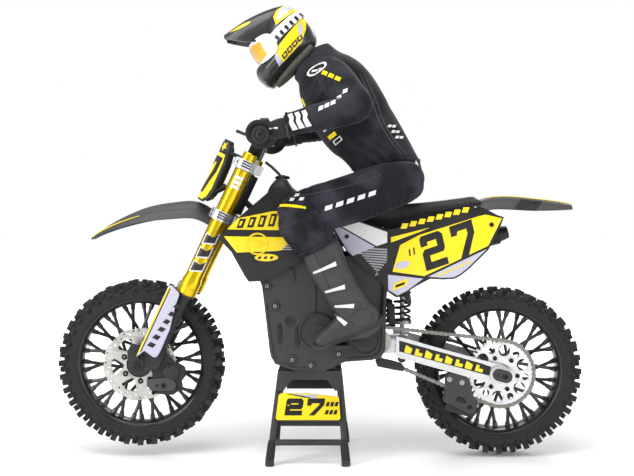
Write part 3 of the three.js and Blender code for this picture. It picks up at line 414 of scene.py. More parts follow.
def geometry_tree(name, takes):
    """A geometry node tree with named inputs, and the helper that links its nodes."""
    tree = bpy.data.node_groups.new(name, "GeometryNodeTree")
    for label, kind in takes:
        tree.interface.new_socket(label, in_out="INPUT", socket_type="NodeSocket" + kind)
    tree.interface.new_socket("Result", in_out="OUTPUT", socket_type="NodeSocketGeometry")
    start = tree.nodes.new("NodeGroupInput")
    end = tree.nodes.new("NodeGroupOutput")
    return tree, start.outputs, end.inputs[0]


def grown(tree, **values):
    """The mesh that a geometry tree makes from these values."""
    holder = linked("seed", bpy.data.meshes.new("seed"))
    maker = holder.modifiers.new("maker", "NODES")
    maker.node_group = tree
    for socket in tree.interface.items_tree:
        if socket.in_out == "INPUT" and socket.name in values:
            maker[socket.identifier] = values[socket.name]
    shape = bmesh.new()
    shape.from_mesh(plain_copy(holder))
    return closed_mesh(shape)


def place_copies(tree, takes, result, points, rotation, **scale):
    """Copies of the part at the points, made into one mesh with one finish."""
    part = add(tree, "GeometryNodeObjectInfo", {"Object": takes["Part"]})
    copies = add(tree, "GeometryNodeInstanceOnPoints", {"Points": points,
        "Instance": part.outputs["Geometry"], "Rotation": rotation, **scale})
    solid = add(tree, "GeometryNodeRealizeInstances", {"Geometry": copies.outputs[0]})
    skinned = add(tree, "GeometryNodeSetMaterial", {"Geometry": solid.outputs[0],
        "Material": takes["Finish"]})
    tree.links.new(skinned.outputs[0], result)


# Copies of one part round the axle: knobs, spokes, screws and teeth.
wheel_tree, takes, result = geometry_tree("parts round an axle",
    [("Part", "Object"), ("Count", "Int"), ("Radius", "Float"), ("Side", "Float"),
    ("Tilt", "Float"), ("Start", "Float"), ("Finish", "Material")])
ring = add(wheel_tree, "GeometryNodeMeshCircle", {"Vertices": takes["Count"],
    "Radius": takes["Radius"]})
turn = add(wheel_tree, "CombineXYZ", {"Y": maths(wheel_tree, "MULTIPLY", takes["Start"], -1.0)})
side = add(wheel_tree, "CombineXYZ", {"Y": takes["Side"]})
stood = add(wheel_tree, "GeometryNodeTransform", {"Geometry": ring.outputs[0],
    "Rotation": (pi / 2, 0, 0)})
aimed = add(wheel_tree, "GeometryNodeTransform", {"Geometry": stood.outputs[0],
    "Rotation": turn.outputs[0], "Translation": side.outputs[0]})
step = maths(wheel_tree, "DIVIDE", 2 * pi, takes["Count"])
number = add(wheel_tree, "GeometryNodeInputIndex")
angle = maths(wheel_tree, "MULTIPLY_ADD", number.outputs[0], step, takes["Start"])
facing = maths(wheel_tree, "SUBTRACT", pi / 2, angle)
euler = add(wheel_tree, "CombineXYZ", {"X": takes["Tilt"], "Y": facing})
rotation = add(wheel_tree, "FunctionNodeEulerToRotation", {"Euler": euler.outputs[0]})
place_copies(wheel_tree, takes, result, aimed.outputs[0], rotation.outputs[0])


def round_axle(part, finish, count, radius=0.0, side=0.0, tilt=0.0, start=0.0):
    pattern = linked("pattern", part)
    mesh = grown(wheel_tree, Part=pattern, Count=count, Radius=radius, Side=side,
        Tilt=radians(tilt), Start=radians(start), Finish=finish)
    bpy.data.objects.remove(pattern)
    return mesh


def socket_screw(radius, height, sides=14):
    """A cap screw whose head faces -y, with its hexagon socket."""
    floor = radius * 0.55 - height
    return turned([(0, floor), (radius * 0.52, floor), (radius * 0.55, -height),
        (radius * 0.86, -height), (radius, -height * 0.8), (radius, 0), (0, 0)], sides)


rubber = finish_of("tyre rubber", (0.013, 0.0135, 0.016), gloss=0.52, spread=0.2, dull=0.22,
    fineness=1600.0, bump=0.25, dust=0.05, variation=0.6)
knob_rubber = finish_of("scuffed knob rubber", (0.014, 0.0145, 0.017), gloss=0.6, spread=0.2,
    dull=0.2, fineness=1200.0, bump=0.35, dust=0.10, variation=0.7)
nylon = finish_of("glossy black nylon", (0.009, 0.009, 0.010), gloss=0.2, spread=0.12, dull=0.16,
    bump=0.04, dust=0.05, specular=0.55)
screw_black = finish_of("black steel screws", (0.028, 0.028, 0.030), gloss=0.3, spread=0.15,
    metal=0.85, bump=0.03)
KNOBS = 36


def tyre(name, half, body, node, centre):
    """A carcass with side knobs, shoulder blocks and centre blocks."""
    carcass = turned([(65.2, -half + 4.6), (66.4, -half + 2.4), (69.2, -half + 1.5),
        (70.0, -half + 1.9), (72.6, -half + 1.2), (76.0, -half + 1.3), (78.6, -half + 3.6),
        (80.2, -half * 0.45), (80.8, 0), (80.2, half * 0.45), (78.6, half - 3.6),
        (76.0, half - 1.3), (72.6, half - 1.2), (70.0, half - 1.9), (69.2, half - 1.5),
        (66.4, half - 2.4), (65.2, half - 4.6)], turns=120)
    side_knob = block(6.4, 4.6, 8.6, 0.84, 0.45)
    low_knob = block(5.2, 2.2, 5.0, 0.8, 0.35)
    shoulder = block(5.6, half * 0.36, 5.6, 0.86, 0.4)
    middle = block(6.2, half * 0.58, 6.2, 0.86, 0.45)
    parts = [carcass]
    for way in (-1, 1):
        out = way * 26
        parts.append(round_axle(side_knob, knob_rubber, KNOBS, 76.6, way * (half - 4.4), -out))
        parts.append(round_axle(low_knob, knob_rubber, KNOBS, 74.6, way * (half - 2.0), -way * 58,
            5.0))
        parts.append(round_axle(shoulder, knob_rubber, KNOBS // 2, 79.2, way * half * 0.36,
            -way * 8, 5.0))
    parts.append(round_axle(middle, knob_rubber, KNOBS // 2, 80.0, 0, 0, 14.9))
    return finished(name, parts, [rubber] + [knob_rubber] * (len(parts) - 1), body, "tyre_rubber",
        [node], Matrix.Translation(centre))


def laced_rim(name, half, hub, body, node, centre, bore):
    """The rim's lips and well, the hub with its flanges, and 36 spokes with their nipples."""
    lip = half - 2.6
    rim = turned([(62.2, -lip + 3.4), (64.8, -lip + 1.0), (68.6, -lip), (69.0, -lip + 1.0),
        (66.2, -lip + 2.6), (64.6, -lip + 5.2), (63.8, 0), (64.6, lip - 5.2), (66.2, lip - 2.6),
        (69.0, lip - 1.0), (68.6, lip), (64.8, lip - 1.0), (62.2, lip - 3.4), (61.4, lip - 5.4),
        (61.0, 0), (61.4, -lip + 5.4)], turns=120)
    barrel = turned([(bore, -hub), (10.4, -hub), (13.2, -hub + 0.5), (13.4, -hub + 2.6),
        (11.0, -hub + 3.4), (8.4, -hub + 6.5), (8.4, hub - 6.5), (11.0, hub - 3.4),
        (13.4, hub - 2.6), (13.2, hub - 0.5), (10.4, hub), (bore, hub)], turns=64)
    parts = [rim, barrel]
    for k, (way, lean, start) in enumerate([(-1, 1, 0), (-1, -1, 9), (1, 1, 20), (1, -1, 29)]):
        reach = degrees(acos(11.3 / 61.5)) * lean
        x, z = polar(11.3, 90 + reach)
        foot = Vector((x, way * (hub - 1.6), z))
        rim_end = Vector((0, way * 1.6, 61.6))
        along = (foot - rim_end).normalized()
        nipple = [rim_end, rim_end + along * 1.2, rim_end + along * 5.0, rim_end + along * 6.2,
            rim_end + along * 6.6, foot]
        spoke = swept(nipple, 1.4, 8, radii=[3.2, 2.7, 2.5, 2.2, 1.8, 1.65])
        parts.append(round_axle(spoke, nylon, 9, 0.0, 0.0, 0.0, start))
    return finished(name, parts, nylon, body, "black_plastic", [node], Matrix.Translation(centre))


def centre_of(node):
    low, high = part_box(node)
    return (low + high) / 2 / MM


front_hub = centre_of("front_tyre")
rear_hub = centre_of("rear_tyre")
tyre("front_knobbly_tyre", 13.5, "front_wheel", "front_tyre", front_hub)
tyre("rear_knobbly_tyre", 17.0, "rear_wheel", "rear_tyre", rear_hub)
laced_rim("front_laced_rim", 13.5, 13.0, "front_wheel", "front_rim", front_hub, 3.2)
laced_rim("rear_laced_rim", 17.0, 15.0, "rear_wheel", "rear_rim", rear_hub, 3.2)


def ramp_of(tree, value, dark, light):
    """A colour between two, by a value from 0 to 1."""
    ramp = add(tree, "ValToRGB", {"Fac": value})
    for stop, colour in zip(ramp.color_ramp.elements, (dark, light)):
        stop.color = (*colour, 1)
    return ramp.outputs["Color"]


def brushed(dark, light, centre):
    """Fine turned lines about the axle."""
    def build(tree):
        where = here(tree)
        hub = add(tree, "Mapping", {"Vector": where, "Location": -Vector(centre) * MM})
        lines = add(tree, "TexWave", {"Vector": hub.outputs[0], "Scale": 240.0, "Distortion": 3.0,
            "Detail": 2.0}, wave_type="RINGS", rings_direction="Y")
        spots = add(tree, "TexNoise", {"Vector": where, "Scale": 60.0, "Detail": 5.0})
        both = maths(tree, "MULTIPLY_ADD", lines.outputs["Fac"], 0.35, spots.outputs["Fac"])
        return ramp_of(tree, both, dark, light)
    return build


disc_steel = finish_of("ground disc steel", brushed((0.30, 0.29, 0.28), (0.66, 0.65, 0.62),
    front_hub), gloss=0.24, spread=0.16, metal=0.9, fineness=1500.0, bump=0.05, dust=0.03)
disc_edge = []
for i in range(144):
    at = i * 2.5
    disc_edge.append(polar(36.9 + 0.6 * sin(radians(at * 10)), at))
disc_cuts = [circle(13.2, sides=40)]
for arm in range(6):
    middle = arm * 60 + 4
    disc_cuts.append([polar(r, middle + a) for r, a in [(16.2, -3), (15.8, 2), (17.5, 9),
        (25.5, 20), (27.6, 19), (28.6, 12), (29.0, 0), (28.6, -10), (27.2, -16), (25.2, -16),
        (18.0, -8)]])
    for a, r in [(-24, 34.6), (-15, 31.8), (-7, 34.6), (2, 31.8), (10, 34.6), (19, 31.8),
            (27, 34.6)]:
        x, y = polar(r, middle + a)
        disc_cuts.append(circle(0.95, x, y, 10))
disc = moved(plate([disc_edge] + disc_cuts, 1.1, 0.18), Matrix.Translation((0, -17.5, 0))
    @ UPRIGHT)
washer = turned([(1.4, -0.5), (2.8, -0.5), (3.0, -0.3), (3.0, 0), (1.4, 0)], turns=20)
screw = socket_screw(1.8, 0.8)
disc_screws = [round_axle(washer, screw_black, 6, 17.2, -17.9, 0, 34),
    round_axle(screw, screw_black, 6, 17.2, -18.0, 0, 34)]
carrier = turned([(3.2, -16.8), (12.8, -16.8), (14.6, -16.2), (14.6, -13.2), (3.2, -13.2)], 48)
ears = [moved(swept([(0, -16.2, 12.5), (0, -16.2, 16.8)], 2.0, 14),
    Matrix.Rotation(radians(90 - 34 - 60 * k), 4, "Y")) for k in range(6)]
finished("front_disc", [disc] + disc_screws + [carrier] + ears,
    [disc_steel] + [screw_black] * 2 + [nylon] * 7, "front_wheel", "steel", ["front_brake_disc"],
    Matrix.Translation(front_hub))

sprocket_metal = finish_of("bright aluminium", brushed((0.62, 0.63, 0.65), (0.88, 0.89, 0.90),
    rear_hub), gloss=0.26, spread=0.14, metal=0.75, fineness=1400.0, bump=0.05, dust=0.03)
TEETH = 44
teeth_edge = []
for tooth in range(TEETH):
    for share, r in [(0.0, 31.6), (0.16, 31.9), (0.36, 34.6), (0.5, 35.0), (0.64, 34.6),
            (0.84, 31.9)]:
        teeth_edge.append(polar(r, (tooth + share) * 360 / TEETH))
sprocket_cuts = []
for k in range(6):
    for r, at, hole in [(23.6, 22, 5.9), (24.8, 52, 3.4)]:
        x, y = polar(r, k * 60 + at)
        sprocket_cuts.append(circle(hole, x, y, 22))
CHAIN_SIDE = -27
sprocket = moved(plate([teeth_edge, circle(9.5, sides=32)] + sprocket_cuts, 2.2, 0.25),
    Matrix.Translation((0, CHAIN_SIDE, 0)) @ UPRIGHT)
bolts = round_axle(socket_screw(2.3, 1.9), screw_black, 6, 16.8, -28.1, 0, 52)
mount = turned([(3.2, -26.2), (9.8, -26.2), (9.8, -14.5), (3.2, -14.5)], 40)
rear_flange = turned([(6, -26.2), (19.4, -26.2), (19.8, -25.6), (19.8, -24.2), (6, -24.2)], 48)
finished("rear_chain_ring", [sprocket, bolts, mount, rear_flange],
    [sprocket_metal, screw_black, nylon, nylon], "rear_wheel", "silver_metal", ["rear_sprocket"],
    Matrix.Translation(rear_hub))

# ---------------------------------------------------------------------------------------------
# Fork and steering
# Gold anodised tubes in two machined clamps slide over black legs; a moulded guard, the caliper
# and the axle lugs belong to the legs. The bar, the number plate and the fender turn with it.
steer_joint = next(j for j in frame["joints"] if j["name"] == "steer")
HEAD = Vector(steer_joint["pos_m"]) / MM
RAKE = radians(25)
STEER = Matrix.Translation(HEAD) @ Matrix.Rotation(RAKE, 4, "Y")
TUBE_OUT = 27

spot_tree, takes, result = geometry_tree("parts at spots", [("Part", "Object"),
    ("Spots", "Object"), ("Turn", "Vector"), ("Scale", "Float"), ("Finish", "Material")])
spots_in = add(spot_tree, "GeometryNodeObjectInfo", {"Object": takes["Spots"]})
rotation = add(spot_tree, "FunctionNodeEulerToRotation", {"Euler": takes["Turn"]})
place_copies(spot_tree, takes, result, spots_in.outputs["Geometry"], rotation.outputs[0],
    Scale=takes["Scale"])


def at_spots(part, finish, spots, turn=(0, 0, 0), scale=1.0):
    """Copies of a part at each spot, all turned the same way."""
    dots = bpy.data.meshes.new("spots")
    dots.from_pydata([tuple(spot) for spot in spots], [], [])
    pattern, places = linked("pattern", part), linked("spots", dots)
    mesh = grown(spot_tree, Part=pattern, Spots=places, Scale=scale, Finish=finish,
        Turn=[radians(a) for a in turn])
    for holder in (pattern, places):
        bpy.data.objects.remove(holder)
    return mesh


def beside(mesh, y):
    """Moves a plate that lies in x and y to stand upright beside the bike at y."""
    return moved(mesh, Matrix.Translation((0, y, 0)) @ UPRIGHT)


def mirrored(mesh):
    """The same part on the other side of the bike."""
    twin = mesh.copy()
    twin.transform(Matrix.Scale(-1, 4, (0, 1, 0)))
    twin.flip_normals()
    return twin


def tube_reflection_streaks(tree):
    """Painted reflections: faint soft streaks of light down a polished tube, in its colour."""
    where = here(tree)
    turn = add(tree, "Mapping", {"Vector": where, "Rotation": (0, -RAKE, 0),
        "Scale": (1.0, 1.0, 0.06)})
    painted_reflections = add(tree, "TexNoise", {"Vector": turn.outputs[0], "Scale": 700.0, "Detail": 3.0})
    return ramp_of(tree, painted_reflections.outputs["Fac"], (0.74, 0.49, 0.010), (0.86, 0.60, 0.022))


def machined(tree):
    where = here(tree)
    stretch = add(tree, "Mapping", {"Vector": where, "Scale": (0.2, 1.0, 1.0)})
    lines = add(tree, "TexNoise", {"Vector": stretch.outputs[0], "Scale": 900.0, "Detail": 4.0})
    return ramp_of(tree, lines.outputs["Fac"], (0.55, 0.56, 0.58), (0.86, 0.87, 0.89))


# the gold tube's colour carries painted reflection streaks
gold = finish_of("gold anodised tube", tube_reflection_streaks, gloss=0.2, spread=0.12, metal=0.85,
    fineness=1300.0, bump=0.03, dust=0.0, variation=0.25)
silver = finish_of("machined silver", machined, gloss=0.24, spread=0.16, metal=0.8,
    fineness=1300.0, bump=0.05, dust=0.02)
dark_metal = finish_of("black anodised metal", (0.016, 0.016, 0.018), gloss=0.3, spread=0.2,
    metal=0.35, bump=0.05, dust=0.06)
plastic = finish_of("moulded black plastic", (0.020, 0.021, 0.023), gloss=0.42, spread=0.2,
    dull=0.12, fineness=1500.0, bump=0.16, dust=0.05)
grey_plastic = finish_of("dark grey plastic", (0.052, 0.053, 0.057), gloss=0.36, spread=0.2,
    dull=0.14, fineness=1300.0, bump=0.1, dust=0.08)
label_white = finish_of("white label film", (0.74, 0.74, 0.76), gloss=0.25, dust=0.02,
    variation=0.2, bump=0.02)
label_black = finish_of("black label film", (0.012, 0.012, 0.012), gloss=0.28, dust=0.03,
    bump=0.02)
vivid_yellow = finish_of("vivid yellow film", (0.90, 0.67, 0.010), gloss=0.22, spread=0.1,
    dust=0.0, variation=0.14, bump=0.02, coat=0.3)
lavender = finish_of("pale lavender film", (0.50, 0.49, 0.62), gloss=0.25, dust=0.02,
    variation=0.2, bump=0.02, coat=0.2)


def sliced(mesh, reach, step, axis=0):
    """Cuts a flat plate into strips so that it can be bent."""
    shape = bmesh.new()
    shape.from_mesh(mesh)
    normal = [0, 0, 0]
    normal[axis] = 1
    at = -reach
    while at <= reach:
        point = [0, 0, 0]
        point[axis] = at
        bmesh.ops.bisect_plane(shape, geom=shape.verts[:] + shape.edges[:] + shape.faces[:],
            plane_co=point, plane_no=normal)
        at += step
    return closed_mesh(shape)


def reshaped(mesh, rule):
    """Moves every point of a mesh by a rule."""
    for vertex in mesh.vertices:
        vertex.co = rule(vertex.co)
    mesh.update()
    return mesh


def on_tube(outline, way, lift):
    """A thin printed film wrapped round the outer side of a fork tube."""
    def wrapped(p):
        out = 9.1 + lift + p.z
        return Vector((-6 + sin(p.x / 9) * out, way * (TUBE_OUT + cos(p.x / 9) * out), p.y))
    return reshaped(sliced(plate([outline], 0.22), 60, 1.5), wrapped)


def apart(pairs):
    """The meshes and the finishes of (mesh, finish) pairs, as two lists."""
    return [list(column) for column in zip(*pairs)]


for side, way in SIDES:
    tube = turned([(6.1, -87.6), (9.3, -87.6), (10.1, -86.6), (10.1, -80.8), (9.6, -80.4),
        (9.6, -79.2), (10.1, -78.8), (10.1, -71.6), (9.0, -69.0), (9.0, 6.0), (8.8, 51.0),
        (7.4, 52.0), (7.4, 69.0), (6.6, 70.0), (0.0, 70.0), (0.0, -60.0), (6.1, -60.0)], turns=48)
    wiper = turned([(5.9, -90.2), (8.4, -90.2), (9.0, -89.4), (9.0, -87.0), (5.9, -87.0)], 36)
    place = Matrix.Translation((-6, way * TUBE_OUT, 0)) @ UPRIGHT
    parts = [(moved(part, place), skin) for part, skin in ((tube, gold), (wiper, nylon))]
    for k in range(3):
        parts.append((on_tube([(-4.6, 31 + k * 5), (4.6, 31 + k * 5), (4.6, 34.4 + k * 5),
            (-4.6, 34.4 + k * 5)], way, 0.1), label_white))
        for lift, inset, skin in ((0.1, 0, label_white), (0.3, 1.5, label_black)):
            low = -64 + k * 15.2
            parts.append((on_tube([(-7 + inset, low + inset), (7 - inset, low + 4.6 + inset),
                (7 - inset, low + 16.4 - inset), (1.2, low + 10.6),
                (-7 + inset, low + 13 - inset)], way, lift), skin))
    finished("fork_tube_" + side + "_gold", *apart(parts), "steering", "gold_anodised",
        ["fork_tube_" + side], STEER)
    paint_node("fork_leg_" + side, plastic)
paint_node("lower_clamp", silver)


def risers_black(tree):
    """The upper clamp is bright, and the bar risers above it are black."""
    where = here(tree)
    head_up = Vector((0.422618, 0, 0.906308))
    up = add(tree, "VectorMath", {0: where, 1: head_up}, operation="DOT_PRODUCT")
    height = (STEER @ Vector((0, 0, 66.5))).dot(head_up) * MM
    split = maths(tree, "GREATER_THAN", up.outputs["Value"], height)
    return add(tree, "Mix", {"Factor": split, 6: machined(tree), 7: (0.02, 0.02, 0.022, 1)},
        data_type="RGBA").outputs[2]


paint_node("upper_clamp", finish_of("two-tone clamp", risers_black, gloss=0.28, spread=0.16,
    metal=0.6, fineness=1300.0, bump=0.05, dust=0.02))
for node in ("handlebar", "front_axle"):
    paint_node(node, dark_metal)

clamp_screw = socket_screw(1.9, 2.0)
grooves = []
for z, grip in ((0, 12.2), (57, 10.4)):
    for lift in (-2.4, 0.2, 2.8):
        grooves.append(moved(block(11, 0.8, 1.2, 1, 0.2), Matrix.Translation(
            (-4.5, -TUBE_OUT - grip, z + lift))))
heads = at_spots(clamp_screw, screw_black, [(-15.4, -31.8, 2.4), (-15.4, -31.8, -2.4),
    (-13.8, -31.2, 57)])
bar_bolts = at_spots(turned([(0, 0), (1.9, 0), (1.9, 2.4), (1.2, 2.6), (0, 1.4)], 12), silver,
    [(-8.6, -12, 80.6), (0.6, -12, 80.6), (-8.6, 12, 80.6), (0.6, 12, 80.6)], (90, 0, 0))
pinch_ears = [swept([(-15.4, y, z - h), (-15.4, y, z + h)], 3.6, 14) for y in (-TUBE_OUT, TUBE_OUT)
    for z, h in ((0, 4.8), (57, 4.4))]
stem_nut = moved(turned([(0, 62), (6.4, 62), (7, 63), (7, 66.5), (6, 67.5), (3, 67.5), (2.6, 66),
    (0, 66)], 24), UPRIGHT)
finished("clamp_fittings", grooves + [mirrored(g) for g in grooves] + pinch_ears
    + [heads, mirrored(heads), bar_bolts, stem_nut], [dark_metal] * 12 + [silver] * 4
    + [screw_black] * 2 + [silver, gold], "steering", "silver_metal", [], STEER)

# Grips with ribbed ends and plugs
grip_parts = []
for way in (-1, 1):
    out = Matrix.Translation((1, 0, 90))
    rubber_end = turned([(3.1, 97.0), (6.6, 97.0), (8.6, 98.0), (8.9, 99.4), (8.4, 100.6),
        (7.2, 100.9), (7.0, 101.6), (5.6, 101.9), (5.2, 101.3), (3.1, 101.3)], 32)
    plug = turned([(0, 99), (4.2, 99), (4.2, 102.2), (3.4, 102.8), (1.5, 102.8), (1.3, 101.9),
        (0, 101.9)], 24)
    for part in (rubber_end, plug):
        grip_parts.append(moved(part if way > 0 else mirrored(part), out))
finished("grip_ends", grip_parts, [rubber, dark_metal] * 2, "steering", "tyre_rubber", [], STEER)

# Fork legs' fittings: guards, lug screws and the front brake caliper
guard_line = [(-23.3, -86), (-21.4, -84.2), (-12.0, -87.4), (-10.2, -90), (-9.4, -100),
    (-4.4, -125), (-3.6, -150), (-4.6, -155.6), (-7.4, -157.4), (-18.5, -155.2), (-23.3, -164.5)]
stripe_line = [(-23.6, -86.5), (-22.0, -86.0), (-22.0, -158.5), (-23.6, -163.0)]
black_line = [(-22.0, -87.0), (-20.9, -87.5), (-20.9, -156.5), (-22.0, -158.5)]


def slanted_bar(x, y, width, height, lean):
    return [(x, y), (x + width, y), (x + width + lean, y + height), (x + lean, y + height)]


def arc_sheet(section, low, high, thick):
    """A thin wall of one bent section, from z low to z high."""
    path = [Vector((x, y, 0)) for x, y in section]
    outer, inner = [], []
    for i, point in enumerate(path):
        ahead = (path[min(len(path) - 1, i + 1)] - path[max(0, i - 1)]).normalized()
        normal = Vector((ahead.y, -ahead.x, 0)) * thick / 2
        outer.append(point + normal)
        inner.append(point - normal)
    loop = outer + inner[::-1]
    return lofted([[p + Vector((0, 0, z)) for p in loop] for z in (low, high)])


guard_marks = [beside(plate([slanted_bar(-18.4 + k * 1.5, -149 + k * 9.2, 6.2 - k * 0.35, 4.6,
    1.8)], 0.3), -39.95) for k in range(6)]
left_guard = ([beside(plate([guard_line], 1.5, 0.5), -39.0), beside(plate([stripe_line], 0.4, 0.1),
    -39.9), beside(plate([black_line], 0.4, 0.1), -39.85), arc_sheet(
    [(-18, -20.5), (-22.2, -24), (-23.6, -30), (-23.4, -38.6)], -156, -86, 1.4)] + guard_marks)
guard_skins = [lavender, vivid_yellow, label_black, lavender] + [label_black] * 6
finished("fork_guard_left_white", left_guard, guard_skins, "fork_lowers", "white_plastic",
    ["fork_guard_left"], STEER)
finished("fork_guard_right_white", [mirrored(part) for part in left_guard], guard_skins,
    "fork_lowers", "white_plastic", ["fork_guard_right"], STEER)

lug_face = [(5, -7), (8, 2), (7, 12), (2, 24), (-6, 26), (-11, 17), (-10, 8), (-8.6, 0),
    (-6, -6.5), (0, -9)]
lug_plate = beside(plate([[(x * 0.9 + 0.4, y * 0.92) for x, y in lug_face]], 1.6, 0.6), -33.6)
lug_screws = at_spots(socket_screw(3.0, 1.8), screw_black, [(4.6, -34.3, 10.4)])
axle_nut = at_spots(socket_screw(3.9, 1.6), dark_metal, [(0, -34.6, 0)])
axle_place = Matrix.Translation(front_hub)
finished("axle_lug_faces", [lug_plate, mirrored(lug_plate), lug_screws, mirrored(lug_screws),
    axle_nut, mirrored(axle_nut)], [plastic] * 2 + [screw_black] * 2 + [dark_metal] * 2,
    "fork_lowers", "black_plastic", [], axle_place)
caliper_line = [(17, 17), (24, 17), (30, 10), (39, 1), (46, -3), (48, -11), (43, -18), (44, -24),
    (36, -30), (19, -29), (13, -24), (14, -17)]
caliper_arm = [(10, -13.5), (30, -12), (37, -14), (40, -19), (38, -24), (33, -25.5), (14, -25),
    (9.5, -20)]
piston_cap = beside(plate([circle(8.4, 34, -7, 28)], 2.4, 0.8), -28.2)
caliper_screw = socket_screw(2.3, 1.8)
caliper_screws = at_spots(caliper_screw, screw_black, [(27.0, -30.3, -19.5), (38.6, -27.2, -21.6),
    (16.6, -27.2, -27.2), (32.5, -27.6, 0.6)])
# black film where the caliper's slot is: painted shade in the slot
caliper_slot_shade = beside(plate([slanted_bar(18.6, -21.4, 3.2, 3.4, 0)], 0.4), -30.3)
finished("caliper_detailed", [beside(plate([caliper_line], 7.0, 1.2), -23.6),
    beside(plate([[(x, y) for x, y in caliper_line if x > 16]], 3.4, 0.8), -14.0),
    beside(plate([caliper_arm], 3.2, 0.9), -28.7), piston_cap, caliper_screws, caliper_slot_shade],
    [plastic, plastic, grey_plastic, plastic, screw_black, label_black], "fork_lowers",
    "black_plastic", ["front_caliper"], axle_place)


# The number plate: a bent plastic sheet with a yellow face, a black band and a generic number
def on_number_plate(point):
    share = point.x / 27
    return Vector((-38.6 + 13 * share * share - point.z, -point.x, point.y))


def digit(kind, x, y, width, height, lean=0.18, stroke=0.24):
    """A squared race digit, 2 or 7, as one outline."""
    w, h, s = width, height, stroke * width
    if kind == "2":
        line = [(0, 0), (w, 0), (w, s), (s, s), (s, h / 2 - s / 2), (w - s * 0.3, h / 2 - s / 2),
            (w, h / 2), (w, h - s * 0.5), (w - s * 0.5, h), (s * 0.3, h), (0, h - s * 0.4),
            (0, h - s * 1.5), (s, h - s * 1.5), (s, h - s), (w - s, h - s), (w - s, h / 2 + s / 2),
            (s * 0.4, h / 2 + s / 2), (0, h / 2)]
    else:
        line = [(w * 0.18, 0), (w * 0.18 + s * 1.15, 0), (w, h * 0.62), (w, h), (0, h),
            (0, h - s * 1.5), (s * 0.8, h - s * 1.5), (s, h - s), (w - s, h - s),
            (w - s, h * 0.64)]
    return [(x + px + lean * py, y + py) for px, py in line]


plate_line = [(-20, 4.5), (-25, 9), (-27.4, 20), (-26.6, 50), (-23, 66), (-18.5, 73), (18.5, 73),
    (23, 66), (26.6, 50), (27.4, 20), (25, 9), (20, 4.5)]
face_line = [(x * 0.93, 39 + (y - 39) * 0.94) for x, y in plate_line]
band_line = [point for point in face_line if point[1] > 60]
band_line = [(-24.3, 58)] + [p for p in band_line] + [(24.3, 58)]
plate_back = sliced(plate([plate_line], 1.8, 0.6), 27, 3)
plate_face = sliced(moved(plate([face_line], 0.3), Matrix.Translation((0, 0, 1.0))), 27, 3)
plate_band = sliced(moved(plate([band_line], 0.3), Matrix.Translation((0, 0, 1.25))), 27, 3)
numbers = [sliced(moved(plate([digit(kind, x, 13, 19.5, 41, 0.0, 0.34)], 0.3),
    Matrix.Translation((0, 0, 1.45))), 27, 3) for kind, x in (("2", -21.5), ("7", 3.0))]
star = [polar(5.2 if k % 2 else 2.3, 18 + 36 * k) for k in range(10)]
stars = [sliced(moved(plate([[(x + at, y + 65.4) for x, y in star]], 0.3),
    Matrix.Translation((0, 0, 1.45))), 27, 3) for at in (-16, 0, 16)]
plate_parts = [plate_back, plate_face, plate_band] + numbers + stars
finished("front_plate_27", [reshaped(part, on_number_plate) for part in plate_parts],
    [plastic, vivid_yellow, label_black] + [label_black] * 2 + [vivid_yellow] * 3, "steering",
    "yellow_plastic", ["front_number_plate"], STEER)
brackets = [swept(smooth_path([(-30, y, 60), (-22, y * 1.1, 62), (-12, y * 0.9, 60)], 5), 2.0, 8)
    for y in (-16, 16)]
brackets.append(swept(smooth_path([(-31, -14, 14), (-24, -18, 20), (-17, -22, 30)], 5), 1.8, 8))
brackets.append(mirrored(brackets[-1]))
plate_cushion = reshaped(sliced(moved(plate([[(x * 0.82, 38 + (y - 38) * 0.86)
    for x, y in plate_line]], 5.5, 1.5), Matrix.Translation((0, 0, -4))), 27, 3), on_number_plate)
finished("number_plate_bracket", brackets + [plate_cushion], plastic, "steering", "black_plastic",
    [], STEER)


def shell(surface, rows, columns, thickness):
    """A closed thin wall on a curved surface(u, v) with u and v from 0 to 1."""
    def normal(u, v):
        e = 0.01
        across = surface(min(1, u + e), v) - surface(max(0, u - e), v)
        along = surface(u, min(1, v + e)) - surface(u, max(0, v - e))
        return across.cross(along).normalized()
    shape = bmesh.new()
    top, under = {}, {}
    for i in range(rows + 1):
        for j in range(columns + 1):
            u, v = i / rows, j / columns
            point, out = surface(u, v), normal(u, v) * thickness / 2
            top[i, j] = shape.verts.new(point + out)
            under[i, j] = shape.verts.new(point - out)
    for i in range(rows):
        for j in range(columns):
            shape.faces.new((top[i, j], top[i + 1, j], top[i + 1, j + 1], top[i, j + 1]))
            shape.faces.new((under[i, j], under[i, j + 1], under[i + 1, j + 1], under[i + 1, j]))
    border = ([(i, 0) for i in range(rows)] + [(rows, j) for j in range(columns)]
        + [(i, columns) for i in range(rows, 0, -1)] + [(0, j) for j in range(columns, 0, -1)])
    for k, now in enumerate(border):
        after = border[(k + 1) % len(border)]
        shape.faces.new((top[now], under[now], under[after], top[after]))
    return closed_mesh(shape)


def through(stations, share):
    """A row of numbers between stations, smoothly, for share 0 to 1."""
    at = share * (len(stations) - 1)
    i = min(int(at), len(stations) - 2)
    t = at - i
    near = [stations[max(0, min(len(stations) - 1, i + k))] for k in (-1, 0, 1, 2)]
    return [0.5 * (2 * b + (c - a) * t + (2 * a - 5 * b + 4 * c - d) * t * t
        + (3 * b - a - 3 * c + d) * t ** 3) for a, b, c, d in zip(*near)]


# The front fender: a long scoop with a raised spine panel and folded sides, bolted under the clamp
fender_stations = [(-237, 226.4, 6, 1.5), (-226, 234.6, 12, 4), (-206, 245.4, 16.5, 8),
    (-178, 256, 18, 12), (-155, 260.4, 17.5, 14), (-130, 262, 16.5, 15), (-112, 254, 14, 15)]


def fender_skin(u, v):
    x, z, half, drop = through(fender_stations, u)
    s = v * 2 - 1
    spine = 2.4 * max(0.0, 1 - abs(s) / 0.5) ** 0.5 * min(1.0, max(0.0, (u - 0.2) * 4))
    return Vector((x, s * half, z - drop * abs(s) ** 2.2 + spine * 0.8 - 1.2))


